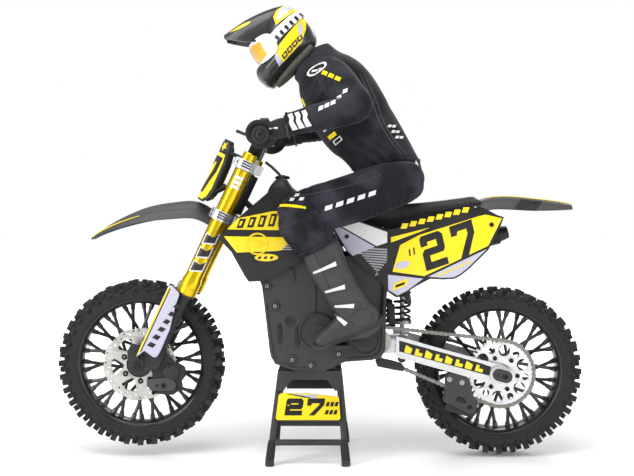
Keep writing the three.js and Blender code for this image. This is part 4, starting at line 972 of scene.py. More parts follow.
def fender_fold(way):
    return swept([fender_skin(u / 24, 0.5 + way * (0.27 + 0.1 * u / 24)) + Vector((0, 0, 0.7))
        for u in range(6, 24)], 0.8, 6)


def fender_stripe(way):
    line = [fender_skin(u / 40, 0.5 + way * 0.33) + Vector((0, way * 0.3, 0.7))
        for u in range(1, 19)]
    return swept(line, 0.9, 6, radii=[0.35 + 0.55 * min(1, (18 - i) / 8) for i in range(18)])


finished("front_scoop_fender", [shell(fender_skin, 48, 22, 1.7), fender_fold(-1), fender_fold(1),
    fender_stripe(-1), fender_stripe(1)], [grey_plastic] * 3 + [vivid_yellow] * 2, "steering",
    "dark_plastic", ["front_fender"])

# ---------------------------------------------------------------------------------------------
# Running gear and side plates
# Two moulded side plates, ribbed and screwed together over the motor, the gyro and the battery;
# the shock, the aluminium swingarm, the roller chain and its black guide are behind them.
case_grey = finish_of("moulded case plastic", (0.038, 0.040, 0.044), gloss=0.4, spread=0.22,
    dull=0.12, fineness=1500.0, bump=0.14, dust=0.05)
steel = finish_of("plain steel", (0.46, 0.45, 0.43), gloss=0.32, spread=0.2, metal=0.9, bump=0.06,
    dust=0.08)
chain_steel = finish_of("oiled chain steel", (0.27, 0.26, 0.24), gloss=0.36, spread=0.22,
    metal=0.8, fineness=1200.0, bump=0.1, dust=0.15)
for node in ("side_plate_left", "side_plate_right", "flywheel_cover", "sprocket_cover"):
    paint_node(node, case_grey)
for node in ("skid_plate", "frame", "footpegs", "swingarm_pin", "steering_servo", "receiver_box",
        "battery"):
    paint_node(node, plastic)
for node in ("motor", "drive_sprocket", "shock_rod", "rear_axle"):
    paint_node(node, steel)
for node in ("gyro_flywheel", "gyro_shaft", "shock_body"):
    paint_node(node, dark_metal)
paint_node("swingarm", silver)
paint_node("silencer", dark_metal)

boss = turned([(0, -1.2), (2.2, -1.2), (2.6, -0.2), (3.0, -1.6), (4.2, -1.9), (5.0, -1.2),
    (5.0, 0), (0, 0)], 28)
plate_screws = [(-52.8, 177.8), (-44.7, 157.6), (-27.5, 103.2), (-8.6, 97.6), (19.6, 109.0)]
outer = -34.2
bosses = at_spots(boss, case_grey, [(x, outer, z) for x, z in plate_screws])
screws = at_spots(socket_screw(2.1, 1.9), steel, [(x, outer - 0.3, z) for x, z in plate_screws])
# the vent slots and the round hole are black film: painted shade for the dark inside of these
# openings
vent_line = [(0, 0), (2.4, -1.5), (4.0, 2), (3.6, 16), (1.8, 20), (-0.6, 18), (-1.2, 6)]
vent_painted_shade = [beside(plate([[(x + px, z + pz) for px, pz in vent_line]], 1.2, 0.4), outer - 0.4)
    for x, z in ((-41.5, 120.0), (-24.0, 117.0))]
hole_ring = moved(turned([(3.6, -0.4), (4.6, -1.2), (5.2, -0.4), (5.2, 0), (3.6, 0)], 28),
    Matrix.Translation((-29.5, outer, 142.4)))
hole_painted_shade = beside(plate([circle(3.7, -29.5, 142.4)], 0.5), outer - 0.2)
ribs = [beside(plate([line], 1.6, 0.6), outer - 0.6) for line in (
    [(-6, 151), (-3.4, 151), (-3.0, 182), (-5.6, 183)], [(-52.6, 182), (-50, 196), (-26, 196),
    (-24, 183), (-27, 180), (-49, 180)], [(-49, 107), (-44.6, 99), (-26, 93), (-8, 93), (-8, 95),
    (-25.4, 95.4), (-42.6, 101.6), (-46.6, 110), (-53, 160), (-54.6, 160)],
    [(28, 102.6), (54, 104.6), (61, 107.6), (64.6, 114), (66, 150), (64, 150), (62.4, 115.6),
    (59.4, 109.8), (53.6, 106.8), (28, 104.8)])]
cover_rim = [moved(turned([(r - 1.6, -38.0), (r - 1.2, -38.8), (r, -38.6), (r + 0.2, -37.4),
    (r + 0.2, -34.6), (r - 1.6, -34.6)], 48), Matrix.Translation((x, 0, z)))
    for x, z, r in ((-2, 132, 18.4), (46, 124.5, 15.9), (46, 124.5, 10.2))]
cover_face = beside(plate([circle(9.4, 46, 124.5, 36)], 1.0, 0.4), -38.4)
left_case = [bosses, screws, hole_ring, hole_painted_shade] + vent_painted_shade + ribs + cover_rim + [cover_face]
case_skins = ([case_grey, steel, case_grey] + [label_black] * 3 + [case_grey] * 7 + [plastic])
finished("case_fittings_left", left_case, case_skins, "chassis", "dark_plastic", [])
right_case = [mirrored(part) for part in left_case[:10]]
finished("case_fittings_right", right_case, case_skins[:10], "chassis", "dark_plastic", [])

cage = [swept(smooth_path([(-56, y, 184), (-60, y, 193), (-57, y, 201), (-46, y, 203.4),
    (-14, y, 203.4)], 6), 2.1, 10) for y in (-33.4, 33.4)]
ledge = [beside(plate([[(-50, 183), (-48, 193), (-27, 197), (-25, 186), (-28, 183)]], 3.0, 0.9), y)
    for y in (-33.0, 33.0)]
brackets = []
for y in (-22, 22):
    brackets.append(beside(plate([[(62, 132), (78, 135), (77, 158), (72, 160), (64, 158)],
        [(65.5, 137), (70.8, 138), (70.8, 145), (65.5, 145)], [(65.5, 148.5), (71, 148.5),
        (70, 155), (66, 155)]], 2.6, 0.5), y))
tab = beside(plate([[(84, 178), (91, 178), (94, 160), (91, 158.5), (88, 161)]], 3, 0.9), -30)
post = [swept(smooth_path([(70.5, y, 236), (69.5, y, 214), (66.4, y, 186), (65, y, 160),
    (64.4, y, 150)], 5), 2.3, 10) for y in (-35.6, 35.6)]
arch = lofted([[Vector((x + nx * t, y, z + nz * t)) for y, t in ((-7, -1.3), (7, -1.3), (7, 1.3),
    (-7, 1.3))] for x, z, nx, nz in ((-56.5, 304, 0.6, 0.8), (-50, 299, 0.65, 0.75),
    (-43.4, 292.6, 0.75, 0.65), (-38.6, 286.6, 0.95, 0.3), (-38.4, 281, 0.95, -0.3),
    (-42.6, 274, 0.85, -0.5))])
finished("frame_fittings", cage + ledge + brackets + [tab, mirrored(tab)] + post + [arch],
    [plastic] * 2 + [case_grey] * 2 + [dark_metal] * 2 + [plastic] * 2 + [dark_metal] * 2
    + [plastic], "chassis", "black_plastic", [])

# Shock spring: a wound coil between the collar and the lower perch
coil_top, coil_low = 171.6, 139.2
coil_steps = 6 * 22
coil_line = []
for i in range(coil_steps + 1):
    a = 2 * pi * i / 22
    share = i / coil_steps
    coil_line.append((86 + 8.2 * cos(a), 8.2 * sin(a), coil_low + (coil_top - coil_low)
        * min(1, max(0, (share - 0.08) / 0.84))))
spring = finished("shock_coil", [swept(coil_line, 1.3, 8)], dark_metal, "chassis", "steel",
    ["shock_spring"])
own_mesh(spring)

# Swingarm dress: a black film with yellow blocks, the axle adjuster and its screw, the roller and
# the slider
arm_film = beside(plate([[(81, 122.6), (164, 99.6), (174, 96.0), (172, 87.2), (160, 90.2),
    (81, 111.6)]], 0.3), -34.45)
arm_blocks = []
for k in range(8):
    x = 86 + k * 10.2
    base = 112.2 - (x - 81) * 0.262
    line = [(x, base), (x + 6.4, base - 1.7), (x + 8.4, base + 3.4), (x + 2.2, base + 7.4),
        (x + 0.9, base + 4.0)]
    if k % 2:
        line = [(x, base), (x + 7.4, base - 1.9), (x + 8.6, base + 1.3), (x + 4.2, base + 2.4),
            (x + 5.2, base + 5.4), (x + 2.0, base + 6.3)]
    arm_blocks.append(beside(plate([line], 0.3), -34.7))
stadium = ([(x + 4, y) for x, y in (polar(6.2, a) for a in range(-90, 91, 15))]
    + [(x - 4, y) for x, y in (polar(6.2, a) for a in range(90, 271, 15))])
lean = Matrix.Rotation(radians(-15), 4, "Z")
adjuster = [(lean @ Vector((x, y, 0))).to_2d() + Vector((185, 87.6)) for x, y in stadium]
adjuster_rim = [(lean @ Vector((x * 1.25, y * 1.3, 0))).to_2d() + Vector((185, 87.6))
    for x, y in stadium]
axle_screw = at_spots(socket_screw(2.6, 1.6), screw_black, [(187.6, -39.6, 86.9)])
# black film where the adjuster's slot is: painted shade in the slot
axle_slot_shade = beside(plate([[(178.4, 87), (181, 86.4), (181.8, 89.2), (179.2, 89.8)]], 0.4), -39.7)
roller = moved(turned([(1.2, -3), (3.0, -3.4), (4.4, -2.6), (3.6, 0), (4.4, 2.6), (1.2, 3)], 24),
    Matrix.Translation((84, CHAIN_SIDE, 103.8)))
arm_dress = [arm_film] + arm_blocks + [beside(plate([adjuster_rim], 1.4, 0.4), -37.4),
    beside(plate([adjuster], 2.4, 0.7), -38.4), axle_screw, axle_slot_shade]
end_skins = [silver, case_grey, screw_black, label_black]
arm_skins = [label_black] + [vivid_yellow] * len(arm_blocks) + end_skins
right_dress = [mirrored(part) for part in [arm_film] + arm_dress[-4:]]
guide_line = [(128.6, 85.2), (131.5, 89.2), (134.5, 89.8), (147, 86.6), (152.6, 82.4), (154.6, 72),
    (156.8, 64.4), (162, 59.6), (157.6, 48.6), (152.7, 47.6), (125.6, 60.6), (128.2, 73)]
guide_cuts = [[(138.4, 62.2), (144, 59.4), (149.4, 59.6), (147, 63.6), (141, 66)],
    circle(2.2, 152.4, 54.8, 14)]
guide_plates = [beside(plate([guide_line] + guide_cuts, 1.8, 0.6), y) for y in (-32.6, -21.8)]
guide_core = beside(plate([[(x * 0.9 + 14.2, z * 0.5 + 21) for x, z in guide_line]], 9, 0.5),
    -27.2)
guide_screws = at_spots(turned([(0, -0.6), (1.0, -0.6), (1.3, -1.2), (2.5, -1.0), (2.8, 0),
    (0, 0)], 20), steel, [(132, -33.4, 83.2), (144.6, -33.4, 80.0)])
slider_line = [(57, 101), (60, 104), (72, 101.5), (84, 98), (87, 94), (85, 91), (78, 92),
    (66, 94.5), (59, 96)]
slider = [beside(plate([slider_line], 1.6, 0.5), y) for y in (-31.4, -22.6)]
finished("swingarm_dress", arm_dress + right_dress + [roller] + slider,
    arm_skins + [label_black] + end_skins + [nylon] + [plastic] * 2, "swingarm_body",
    "silver_metal", [])
finished("chain_guide_block", guide_plates + [guide_core, guide_screws],
    [case_grey, case_grey, plastic, steel], "swingarm_body", "black_plastic", ["chain_guide"])

# Roller chain: link plates and rollers set along the loop round both sprockets
link_side = ([(x + 2.4, y) for x, y in (polar(2.0, a) for a in range(-90, 91, 45))] + [(0, 1.3)]
    + [(x - 2.4, y) for x, y in (polar(2.0, a) for a in range(90, 271, 45))] + [(0, -1.3)])
link = bmesh.new()
for y in (-1.7, 1.7):
    link.from_mesh(beside(plate([link_side], 0.7), y))
link.from_mesh(moved(turned([(0, -2.4), (1.0, -2.4), (1.0, 2.4), (0, 2.4)], 8),
    Matrix.Translation((2.4, 0, 0))))
link.from_mesh(moved(turned([(0, -1.3), (1.5, -1.3), (1.5, 1.3), (0, 1.3)], 8),
    Matrix.Translation((-2.4, 0, 0))))
link_mesh = closed_mesh(link)
chain_tree, takes, result = geometry_tree("links along a loop",
    [("Loop", "Object"), ("Part", "Object"), ("Count", "Int"), ("Finish", "Material")])
loop_in = add(chain_tree, "GeometryNodeObjectInfo", {"Object": takes["Loop"]})
evenly = add(chain_tree, "GeometryNodeResampleCurve", {"Curve": loop_in.outputs["Geometry"],
    "Count": takes["Count"]})
ahead = add(chain_tree, "GeometryNodeInputTangent")
aligned = add(chain_tree, "FunctionNodeAlignRotationToVector", {"Vector": ahead.outputs[0]},
    axis="X", pivot_axis="Y")
number = add(chain_tree, "GeometryNodeInputIndex")
odd = maths(chain_tree, "MODULO", number.outputs[0], 2.0)
wide = maths(chain_tree, "MULTIPLY_ADD", odd, 0.26, 0.74)
size = add(chain_tree, "CombineXYZ", {"X": 1.0, "Y": wide, "Z": 1.0})
place_copies(chain_tree, takes, result, evenly.outputs[0], aligned.outputs[0],
    Scale=size.outputs[0])
rear_centre, drive_centre = (Vector((p.x, p.z)) for p in (rear_hub, centre_of("drive_sprocket")))
rear_pitch, drive_pitch = 33.64, 15.34
between = rear_centre - drive_centre
back = 180 + degrees(atan2(between.y, between.x))
spread = degrees(acos((rear_pitch - drive_pitch) / between.length))
loop_points = []
for k in range(25):
    loop_points.append(rear_centre + Vector(polar(rear_pitch, back - spread - (360 - 2 * spread)
        * k / 24)))
for k in range(17):
    loop_points.append(drive_centre + Vector(polar(drive_pitch,
        back + spread - 2 * spread * k / 16)))
loop_curve = bpy.data.curves.new("loop", "CURVE")
loop_curve.dimensions = "3D"
loop_line = loop_curve.splines.new("POLY")
loop_line.points.add(len(loop_points) - 1)
loop_line.use_cyclic_u = True
for point, spot in zip(loop_line.points, loop_points):
    point.co = (spot.x, CHAIN_SIDE, spot.y, 1)
loop_holder, link_holder = linked("loop", loop_curve), linked("link", link_mesh)
links = grown(chain_tree, Loop=loop_holder, Part=link_holder, Count=86, Finish=chain_steel)
for holder in (loop_holder, link_holder):
    bpy.data.objects.remove(holder)
finished("roller_chain", [links], chain_steel, "swingarm_body", "steel", ["chain"])

# ---------------------------------------------------------------------------------------------
# Bodywork
# Thin moulded shrouds and side panels carry printed film; the fender is bare grey plastic and
# the tank cover black. All are held by small screws, and their edges are rounded.
def decked(sheets, rule):
    """Bent plates laid on each other: each entry is (outlines, thickness, height, finish)."""
    meshes = []
    for outlines, thickness, height, skin in sheets:
        flat = moved(plate(outlines, thickness, min(0.1, thickness / 3)),
            Matrix.Translation((0, 0, height)))
        flat = sliced(sliced(flat, 200, 9), 290, 9, 1)
        meshes.append(reshaped(flat, rule))
    return meshes


def on_shroud(point):
    bow = 3.2 * (1 - ((point.y - 232) / 52) ** 2)
    out = -34.4 - point.z - max(-1.5, bow)
    return (Matrix.Rotation(radians(7), 4, "Z") @ Vector((point.x, 0, point.y))
        + Vector((0, out, 0)))


hatch_grey = finish_of("grey pinstripe film", (0.36, 0.36, 0.39), gloss=0.3, dust=0.03)
deep_yellow = finish_of("deep yellow film", (0.86, 0.60, 0.006), gloss=0.24, dust=0.0,
    variation=0.14)
shroud_line = [(-101, 227), (-78, 250), (-57, 268), (-46, 277.5), (-40, 278), (-29, 273.5),
    (-14, 257), (1, 240), (-5, 228), (-19, 203), (-30, 197), (-57, 183.5), (-71, 183), (-75, 189),
    (-88, 213)]
shroud_sheets = [([shroud_line], 1.8, 0.0, label_black), ([[(-92, 235.6), (-81.5, 246.6),
    (-47, 253.6), (-12, 254.6), (-3, 244), (-4, 236), (-38, 234.6)]], 0.3, 1.0, vivid_yellow),
    ([[(-95.4, 228.8), (-30, 227.4), (-27, 226), (-37.6, 214.6), (-42, 213.8), (-82.6, 212.4)]],
    0.3, 1.0, vivid_yellow), ([circle(11.2, -62, 221, 40), circle(9.4, -62, 221, 40)], 0.2, 1.2,
    deep_yellow), ([[(-66, 217.4), (-58, 217.4), (-50, 221), (-58, 224.6), (-66, 224.6),
    (-60, 221)]], 0.2, 1.2, deep_yellow), ([[(-53 + 11.8 * cos(a / 5), 207.2 + 3.7 * sin(a / 5))
    for a in range(0, 31)]], 0.3, 1.0, vivid_yellow)]
for k in range(4):
    shroud_sheets.append(([slanted_bar(-83 + k * 10.4, 236.9 + k * 0.5, 6.4, 9.4 + k * 1.1, 3.6),
        slanted_bar(-80.8 + k * 10.4, 239.4 + k * 0.5, 2.4, 4.6 + k * 1.1, 2.2)], 0.2, 1.2,
        label_black))
for k in range(3):
    shroud_sheets.append(([slanted_bar(-62 + k * 6, 205.8, 3.0, 2.6, 1.2)], 0.2, 1.2, label_black))
for k in range(6):
    z = 214.6 + k * 2.1
    shroud_sheets.append(([[(-37.6 + k * 1.8, z), (-24.0 - k * 0.6, z), (-24.4 - k * 0.6, z + 1.2),
        (-36.6 + k * 1.8, z + 1.2)]], 0.2, 1.0, hatch_grey))
shroud_meshes = decked(shroud_sheets, on_shroud)
shroud_skins = [sheet[3] for sheet in shroud_sheets]
for side, way in SIDES:
    finished("shroud_" + side + "_printed", shroud_meshes if way < 0 else [mirrored(part)
        for part in shroud_meshes], shroud_skins, "chassis", "black_plastic", ["shroud_" + side])


# Side panels: black moulded plates with white, lavender and yellow film and a generic number
def turned_block(outline, x, y, degrees, flip=1):
    turn = Matrix.Rotation(radians(degrees), 4, "Z")
    return [tuple((turn @ Vector((px * flip, py, 0))).to_2d() + Vector((x, y)))
        for px, py in outline]


def panel_sheets(flip):
    """The films of one side; flip is -1 where the number is laid out for the right side."""
    films = [([[(11, 238.5), (20, 242), (33, 246), (69.5, 234.6), (162, 258.5), (170, 255),
        (180, 249.6), (186.6, 247.6), (183, 238), (171, 214.5), (152, 196), (144, 189.5),
        (137, 185.4), (125, 184.6), (112, 185.4), (98, 178), (86, 170.4), (78, 166.4), (68, 173),
        (60, 186), (50, 191.5), (31, 208)]], 2.0, 0, label_black),
        ([[(18.4, 240.6), (34, 244.8), (68.6, 232.6), (68.6, 222), (58, 218.4)]], 0.3, 1.1,
        label_white), ([[(14, 238), (17.4, 239.6), (56.4, 217.6), (34, 208.6), (29, 213)]], 0.3,
        1.1, lavender), ([[(81.6, 219.4), (101, 229.6), (160.6, 248.4), (168, 250.2),
        (184.6, 246.4), (170.6, 218.6), (106, 188.2), (74, 192.6)]], 0.3, 1.1, vivid_yellow),
        ([[(72.4, 222), (101, 232.6), (112, 237.2), (72.4, 227.4)]], 0.3, 1.1, vivid_yellow),
        ([[(69.4, 189.6), (105, 185.6), (88, 173), (79, 168.6), (69.8, 174)]], 0.3, 1.1, lavender),
        ([[(110, 187.6), (169.6, 215.6), (151, 197.4), (143, 190.8), (136, 187), (125, 186.4)]],
        0.3, 1.1, lavender)]
    for k in range(11):
        z = 188.5 + k * 2.6
        left = max(34.5, 60.5 - (z - 187.5) * 0.9 - (6 if k > 7 else 0))
        right = 68.6 - max(0, 12 - k * 2.2)
        films.append(([[(left, z + 1.4), (right, z - 0.4), (right, z + 1.1), (left, z + 2.9)]],
            0.2, 1.1, hatch_grey))
    for k in range(8):
        x = 82 + k * 8.8
        z = 233.4 + (x - 72) * 0.262
        films.append(([slanted_bar(x, z, 6.2, 5.4, 2.0)], 0.2, 1.2, vivid_yellow))
    for k in range(6):
        x = 119 + k * 5.9
        z = 187.2 + (x - 119) * 0.42
        films.append(([[(x, z), (x + 3.8, z + 1.6), (x + 4.8, z + 4.4), (x + 1.0, z + 2.8)]], 0.2,
            1.3, deep_yellow))
    films.append(([[(74, 173.4), (88, 178.6), (90, 186), (76, 181)]], 0.2, 1.3, vivid_yellow))
    films.append(([[(76.6, 176.2), (86, 179.6), (86.8, 182.6), (77.4, 179.2)]], 0.2, 1.4,
        label_black))
    films.append(([[(84 + 7.4 * cos(a / 4), 199.6 + 3.8 * sin(a / 4) + 1.6 * cos(a / 4))
        for a in range(25)]], 0.2, 1.3, lavender))
    for kind, x in (("2", -29), ("7", 3.4)):
        glyph = [(px, py - 17.5) for px, py in digit(kind, x, 0, 24, 35, 0.1, 0.3)]
        films.append(([turned_block(glyph, 130, 219, 19, flip)], 0.25, 1.3, label_black))
    for k in range(2):
        films.append(([turned_block([(0, 0), (1.6, 0), (3.0, 7), (1.4, 7)], 91 + k * 4.4,
            208 + k * 1.6, 18, 1)], 0.2, 1.3, label_black))
    return films


def on_panel(point):
    bow = 2.2 * (1 - ((point.x - 100) / 95) ** 2)
    return Vector((point.x, -35.2 - point.z - max(0.0, bow), point.y))


panel_screw = turned([(0, -0.4), (0.9, -0.4), (1.1, -1.0), (2.0, -0.8), (2.3, 0), (0, 0)], 16)
for side, flip in (("left", 1), ("right", -1)):
    films = panel_sheets(flip)
    meshes = decked(films, on_panel)
    meshes.append(at_spots(panel_screw, screw_black, [(76, -37.6, 206), (174, -38.0, 240),
        (28, -37.4, 228)]))
    if side == "right":
        meshes = [mirrored(part) for part in meshes]
    finished("side_panel_" + side + "_printed", meshes, [film[3] for film in films]
        + [screw_black], "chassis", "yellow_plastic", ["side_panel_" + side])

# Tank cover with its cap
tank_stations = [(-55, 264, 4, 8), (-54, 266, 8, 13), (-50, 268, 13.5, 16.5), (-44, 270, 17, 18),
    (-36, 270, 17.6, 19), (-29, 266, 12.4, 19.6), (-23, 264, 9.6, 19.4), (-20.6, 264, 7.4, 17)]


def squarish(value, power):
    """A sine or cosine drawn out towards a squarer ring."""
    return copysign(abs(value) ** power, value)


tank_rings = []
for i in range(22):
    x, z, high, wide = through(tank_stations, i / 21)
    tank_rings.append([Vector((x, wide * squarish(cos(a), 0.7), z + high * squarish(sin(a), 0.8)))
        for a in angles(28)])
cap = moved(turned([(0, 0), (7.0, 0), (7.0, 2.6), (6.2, 3.4), (3, 3.6), (2.6, 4.4), (0, 4.4)], 24),
    Matrix.Translation((-39, 0, 286.4)) @ UPRIGHT)
cap_ribs = [moved(moved(block(1.2, 1.4, 2.4, 1, 0.3), Matrix.Translation((7.0, 0, 0.2))),
    Matrix.Translation((-39, 0, 286.4)) @ Matrix.Rotation(k * pi / 6, 4, "Z")) for k in range(12)]
finished("tank_cover_moulded", [lofted(tank_rings), cap] + cap_ribs,
    [plastic, dark_metal] + [dark_metal] * 12, "chassis", "black_plastic", ["tank_cover"],
    smooth=50)

# Rear fender: a tapering scoop with rolled edges behind the seat
rear_stations = [(166, 265.0, 19, 10), (180, 268.5, 20, 11), (200, 269, 20.5, 12),
    (220, 267, 19.5, 11), (242, 264.4, 18, 8), (255, 262, 16, 5), (261, 260.6, 13, 3.4)]


def rear_skin(u, v):
    x, z, half, drop = through(rear_stations, u)
    s = v * 2 - 1
    edge = max(0.0, abs(s) - 0.82) * 5
    return Vector((x, s * half, z - drop * abs(s) ** 3.0 - edge * 1.2 - 1.0))


def fender_marks(tree):
    """Grey plastic with a slanted black film across the tail."""
    where = here(tree)
    across = add(tree, "VectorMath", {0: where, 1: (1000.0, 0.0, -900.0)}, operation="DOT_PRODUCT")
    start = add(tree, "MapRange", {"Value": across.outputs["Value"], "From Min": -32.0,
        "From Max": -31.0})
    stop = add(tree, "MapRange", {"Value": across.outputs["Value"], "From Min": -6.0,
        "From Max": -7.0})
    band = maths(tree, "MULTIPLY", start.outputs[0], stop.outputs[0])
    return add(tree, "MixRGB", {0: band, 1: (0.050, 0.048, 0.046, 1),
        2: (0.008, 0.008, 0.009, 1)}).outputs[0]


fender_grey = finish_of("taupe fender plastic", fender_marks, gloss=0.36, spread=0.2, bump=0.08,
    dust=0.08)
rear_trim = [swept([rear_skin(u / 30, 0.5 + way * 0.2) + Vector((0, 0, 1.0))
    for u in range(3, 28)], 0.55, 6) for way in (-1, 1)]
finished("rear_scoop_fender", [shell(rear_skin, 40, 24, 1.7)] + rear_trim,
    [fender_grey, vivid_yellow, vivid_yellow], "chassis", "dark_plastic", ["rear_fender"])


# The seat is foam under grippy black vinyl, pulled down over its base, with a ribbed top panel
def remeshed(mesh, voxel):
    """An object whose skin is made of even faces."""
    holder = linked("skin", mesh)
    remesh = holder.modifiers.new("even", "REMESH")
    remesh.mode = "VOXEL"
    remesh.voxel_size = voxel
    return holder


def stuffed(mesh, voxel, pressure, most):
    """Inflates a closed shape a little with a cloth simulation, as stuffed cloth swells."""
    even = plain_copy(remeshed(mesh, voxel))
    before = [v.co.copy() for v in even.vertices]
    scaled = even.copy()
    scaled.transform(Matrix.Scale(0.01, 4))
    cloth_holder = linked("cloth", scaled)
    cloth = cloth_holder.modifiers.new("cloth", "CLOTH")
    cloth.settings.use_pressure = True
    cloth.settings.uniform_pressure_force = pressure
    cloth.settings.effector_weights.gravity = 0
    cloth.settings.quality = 4
    for number in range(1, 15):
        bpy.context.scene.frame_set(number)
    swollen = plain_copy(cloth_holder)
    bpy.context.scene.frame_set(1)
    for vertex, old, new in zip(even.vertices, before, swollen.vertices):
        shift = new.co * 100 - old
        if shift.length > most:
            shift *= most / shift.length
        vertex.co = old + shift
    return even


seat_top = [(-20, 273), (-10, 266.4), (10, 266.4), (40, 260.6), (75, 258.2), (112, 261),
    (146, 265), (160, 267), (168, 266)]
seat_low = [(-20, 262), (-8, 258), (10, 253.6), (33, 247.6), (70, 237.4), (112, 247.6), (146, 255),
    (162, 259.2), (168, 262)]
seat_rings = []
for i in range(41):
    top = through(seat_top, i / 40)
    low = through(seat_low, i / 40)
    x, high, deep = (top[0] + low[0]) / 2, top[1], low[1]
    wide = 15.6 + 1.2 * sin(pi * i / 40)
    middle, tall = (high + deep) / 2, (high - deep) / 2
    seat_rings.append([Vector((x, wide * squarish(cos(a), 0.55),
        middle + tall * squarish(sin(a), 0.6))) for a in angles(32)])
seat_mesh = stuffed(lofted(seat_rings), 2.2, 4.0, 1.6)


def vinyl_colour(tree):
    """Black vinyl with a fine pebble and gripper ribs across it."""
    where = here(tree)
    pebble = add(tree, "TexVoronoi", {"Vector": where, "Scale": 1100.0})
    ribs = add(tree, "TexWave", {"Vector": where, "Scale": 75.0, "Distortion": 0.2},
        wave_type="BANDS", bands_direction="X")
    both = maths(tree, "ADD", pebble.outputs["Distance"], ribs.outputs["Fac"])
    return ramp_of(tree, both, (0.010, 0.010, 0.011), (0.030, 0.030, 0.032))


vinyl = finish_of("black seat vinyl", vinyl_colour, gloss=0.45, spread=0.25, bump=0.3,
    fineness=1500.0, dust=0.06)
seam_lines = []
for way in (-1, 1):
    line = []
    for i in range(2, 39):
        top, low = through(seat_top, i / 40), through(seat_low, i / 40)
        line.append(((top[0] + low[0]) / 2, way * (16.4 + 1.2 * sin(pi * i / 40)),
            low[1] + 0.36 * (top[1] - low[1])))
    seam_lines.append(swept(line, 0.5, 6))
seat = finished("seat_padded", [seat_mesh] + seam_lines, vinyl, "chassis", "seat_vinyl", ["seat"],
    smooth=60)

# ---------------------------------------------------------------------------------------------
# Rider figure
# A stuffed cloth jersey and trousers over a jointed dummy, with moulded boots, gloves glued
# round the grips, and a plastic helmet and goggles that hide the head.
weave, takes, gives = shader_group("cloth weave", [("Threads", "number", 900.0)],
    [("Height", "number")])
where = here(weave)
warp = add(weave, "TexWave", {"Vector": where, "Scale": takes.outputs["Threads"],
    "Distortion": 0.6}, wave_type="BANDS", bands_direction="DIAGONAL")
crossed = add(weave, "Mapping", {"Vector": where, "Rotation": (0, pi / 2, 0)})
weft = add(weave, "TexWave", {"Vector": crossed.outputs[0], "Scale": takes.outputs["Threads"],
    "Distortion": 0.6}, wave_type="BANDS", bands_direction="DIAGONAL")
feed(weave, gives, {"Height": maths(weave, "MULTIPLY", warp.outputs["Fac"], weft.outputs["Fac"])})


def cloth_of(name, dark, light, threads, sheen=0.04):
    """Woven cloth: the threads shade it and raise it, and slow noise fades it."""
    cloth = bpy.data.materials.new(name)
    cloth.use_nodes = True
    tree = cloth.node_tree
    shader = tree.nodes["Principled BSDF"]
    height = add(tree, "Group", {"Threads": threads}, node_tree=weave).outputs[0]
    skin = add(tree, "Group", {"Fineness": 700.0, "Gloss": 0.62, "Spread": 0.2}, node_tree=grain)
    tone = maths(tree, "MULTIPLY_ADD", height, 0.55, skin.outputs["Patches"])
    relief = add(tree, "Bump", {"Height": height, "Strength": 0.3, "Distance": 0.0003})
    feed(tree, shader, {"Base Color": ramp_of(tree, tone, dark, light),
        "Roughness": skin.outputs["Roughness"], "Normal": relief.outputs[0], "Sheen Weight": sheen,
        "Specular IOR Level": 0.12})
    return cloth


jersey_cloth = cloth_of("black jersey cloth", (0.004, 0.004, 0.006), (0.030, 0.029, 0.036), 300.0)
trouser_cloth = cloth_of("charcoal trouser cloth", (0.005, 0.005, 0.008), (0.038, 0.035, 0.047),
    240.0)
white_print = cloth_of("white printed cloth", (0.62, 0.62, 0.63), (0.76, 0.76, 0.77), 420.0, 0.1)
yellow_print = cloth_of("yellow printed cloth", (0.80, 0.58, 0.006), (0.90, 0.68, 0.01), 420.0,
    0.1)
glove_cloth = cloth_of("dark glove cloth", (0.012, 0.012, 0.013), (0.035, 0.035, 0.037), 520.0)
boot_skin = finish_of("moulded boot", (0.036, 0.038, 0.040), gloss=0.42, spread=0.22, bump=0.14,
    fineness=1200.0, dust=0.08)
sole_rubber = finish_of("boot sole rubber", (0.020, 0.020, 0.021), gloss=0.6, spread=0.2, bump=0.2,
    dust=0.15)
buckle_white = finish_of("white buckle plastic", (0.72, 0.72, 0.73), gloss=0.32, bump=0.04,
    dust=0.12)


def skin_over(parts, voxel, rounds):
    """One smooth closed skin round several overlapping solids."""
    shape = bmesh.new()
    for part in parts:
        shape.from_mesh(part)
    holder = remeshed(closed_mesh(shape), voxel)
    relax = holder.modifiers.new("relax", "SMOOTH")
    relax.iterations = rounds
    relax.factor = 0.5
    return plain_copy(holder)


def limb(stations, steps=28, sides=28, square=0.9):
    """A body or limb through stations: (x, y, z, depth, width) with rings across its line."""
    rings = []
    for i in range(steps + 1):
        x, y, z, deep, wide = through(stations, i / steps)
        ahead = Vector(through(stations, min(1, i / steps + 0.02))[:3]) - Vector(
            through(stations, max(0, i / steps - 0.02))[:3])
        ahead.normalize()
        across = Vector((0, 1, 0))
        across = (across - ahead * across.dot(ahead)).normalized()
        out = ahead.cross(across)
        rings.append([Vector((x, y, z)) + out * (deep * squarish(cos(a), square)) + across
            * (wide * squarish(sin(a), square)) for a in angles(sides)])
    return lofted(rings)


def creased(mesh, folds):
    """Presses soft folds into cloth. Each fold is (centre, reach, direction, spacing, depth)."""
    normals = [v.normal.copy() for v in mesh.vertices]
    for vertex, normal in zip(mesh.vertices, normals):
        push = 0.0
        for centre, reach, direction, spacing, depth in folds:
            away = (vertex.co - Vector(centre)).length / reach
            if away < 1:
                d = Vector(direction).normalized()
                along = vertex.co.dot(d)
                wobble = 1.8 * sin(vertex.co.dot(d.orthogonal()) / (spacing * 2.3))
                fade = (1 - away * away) ** 2
                push += depth * fade * (sin(2 * pi * (along + wobble) / spacing) - 0.3)
        vertex.co += normal * push
    mesh.update()
    return mesh


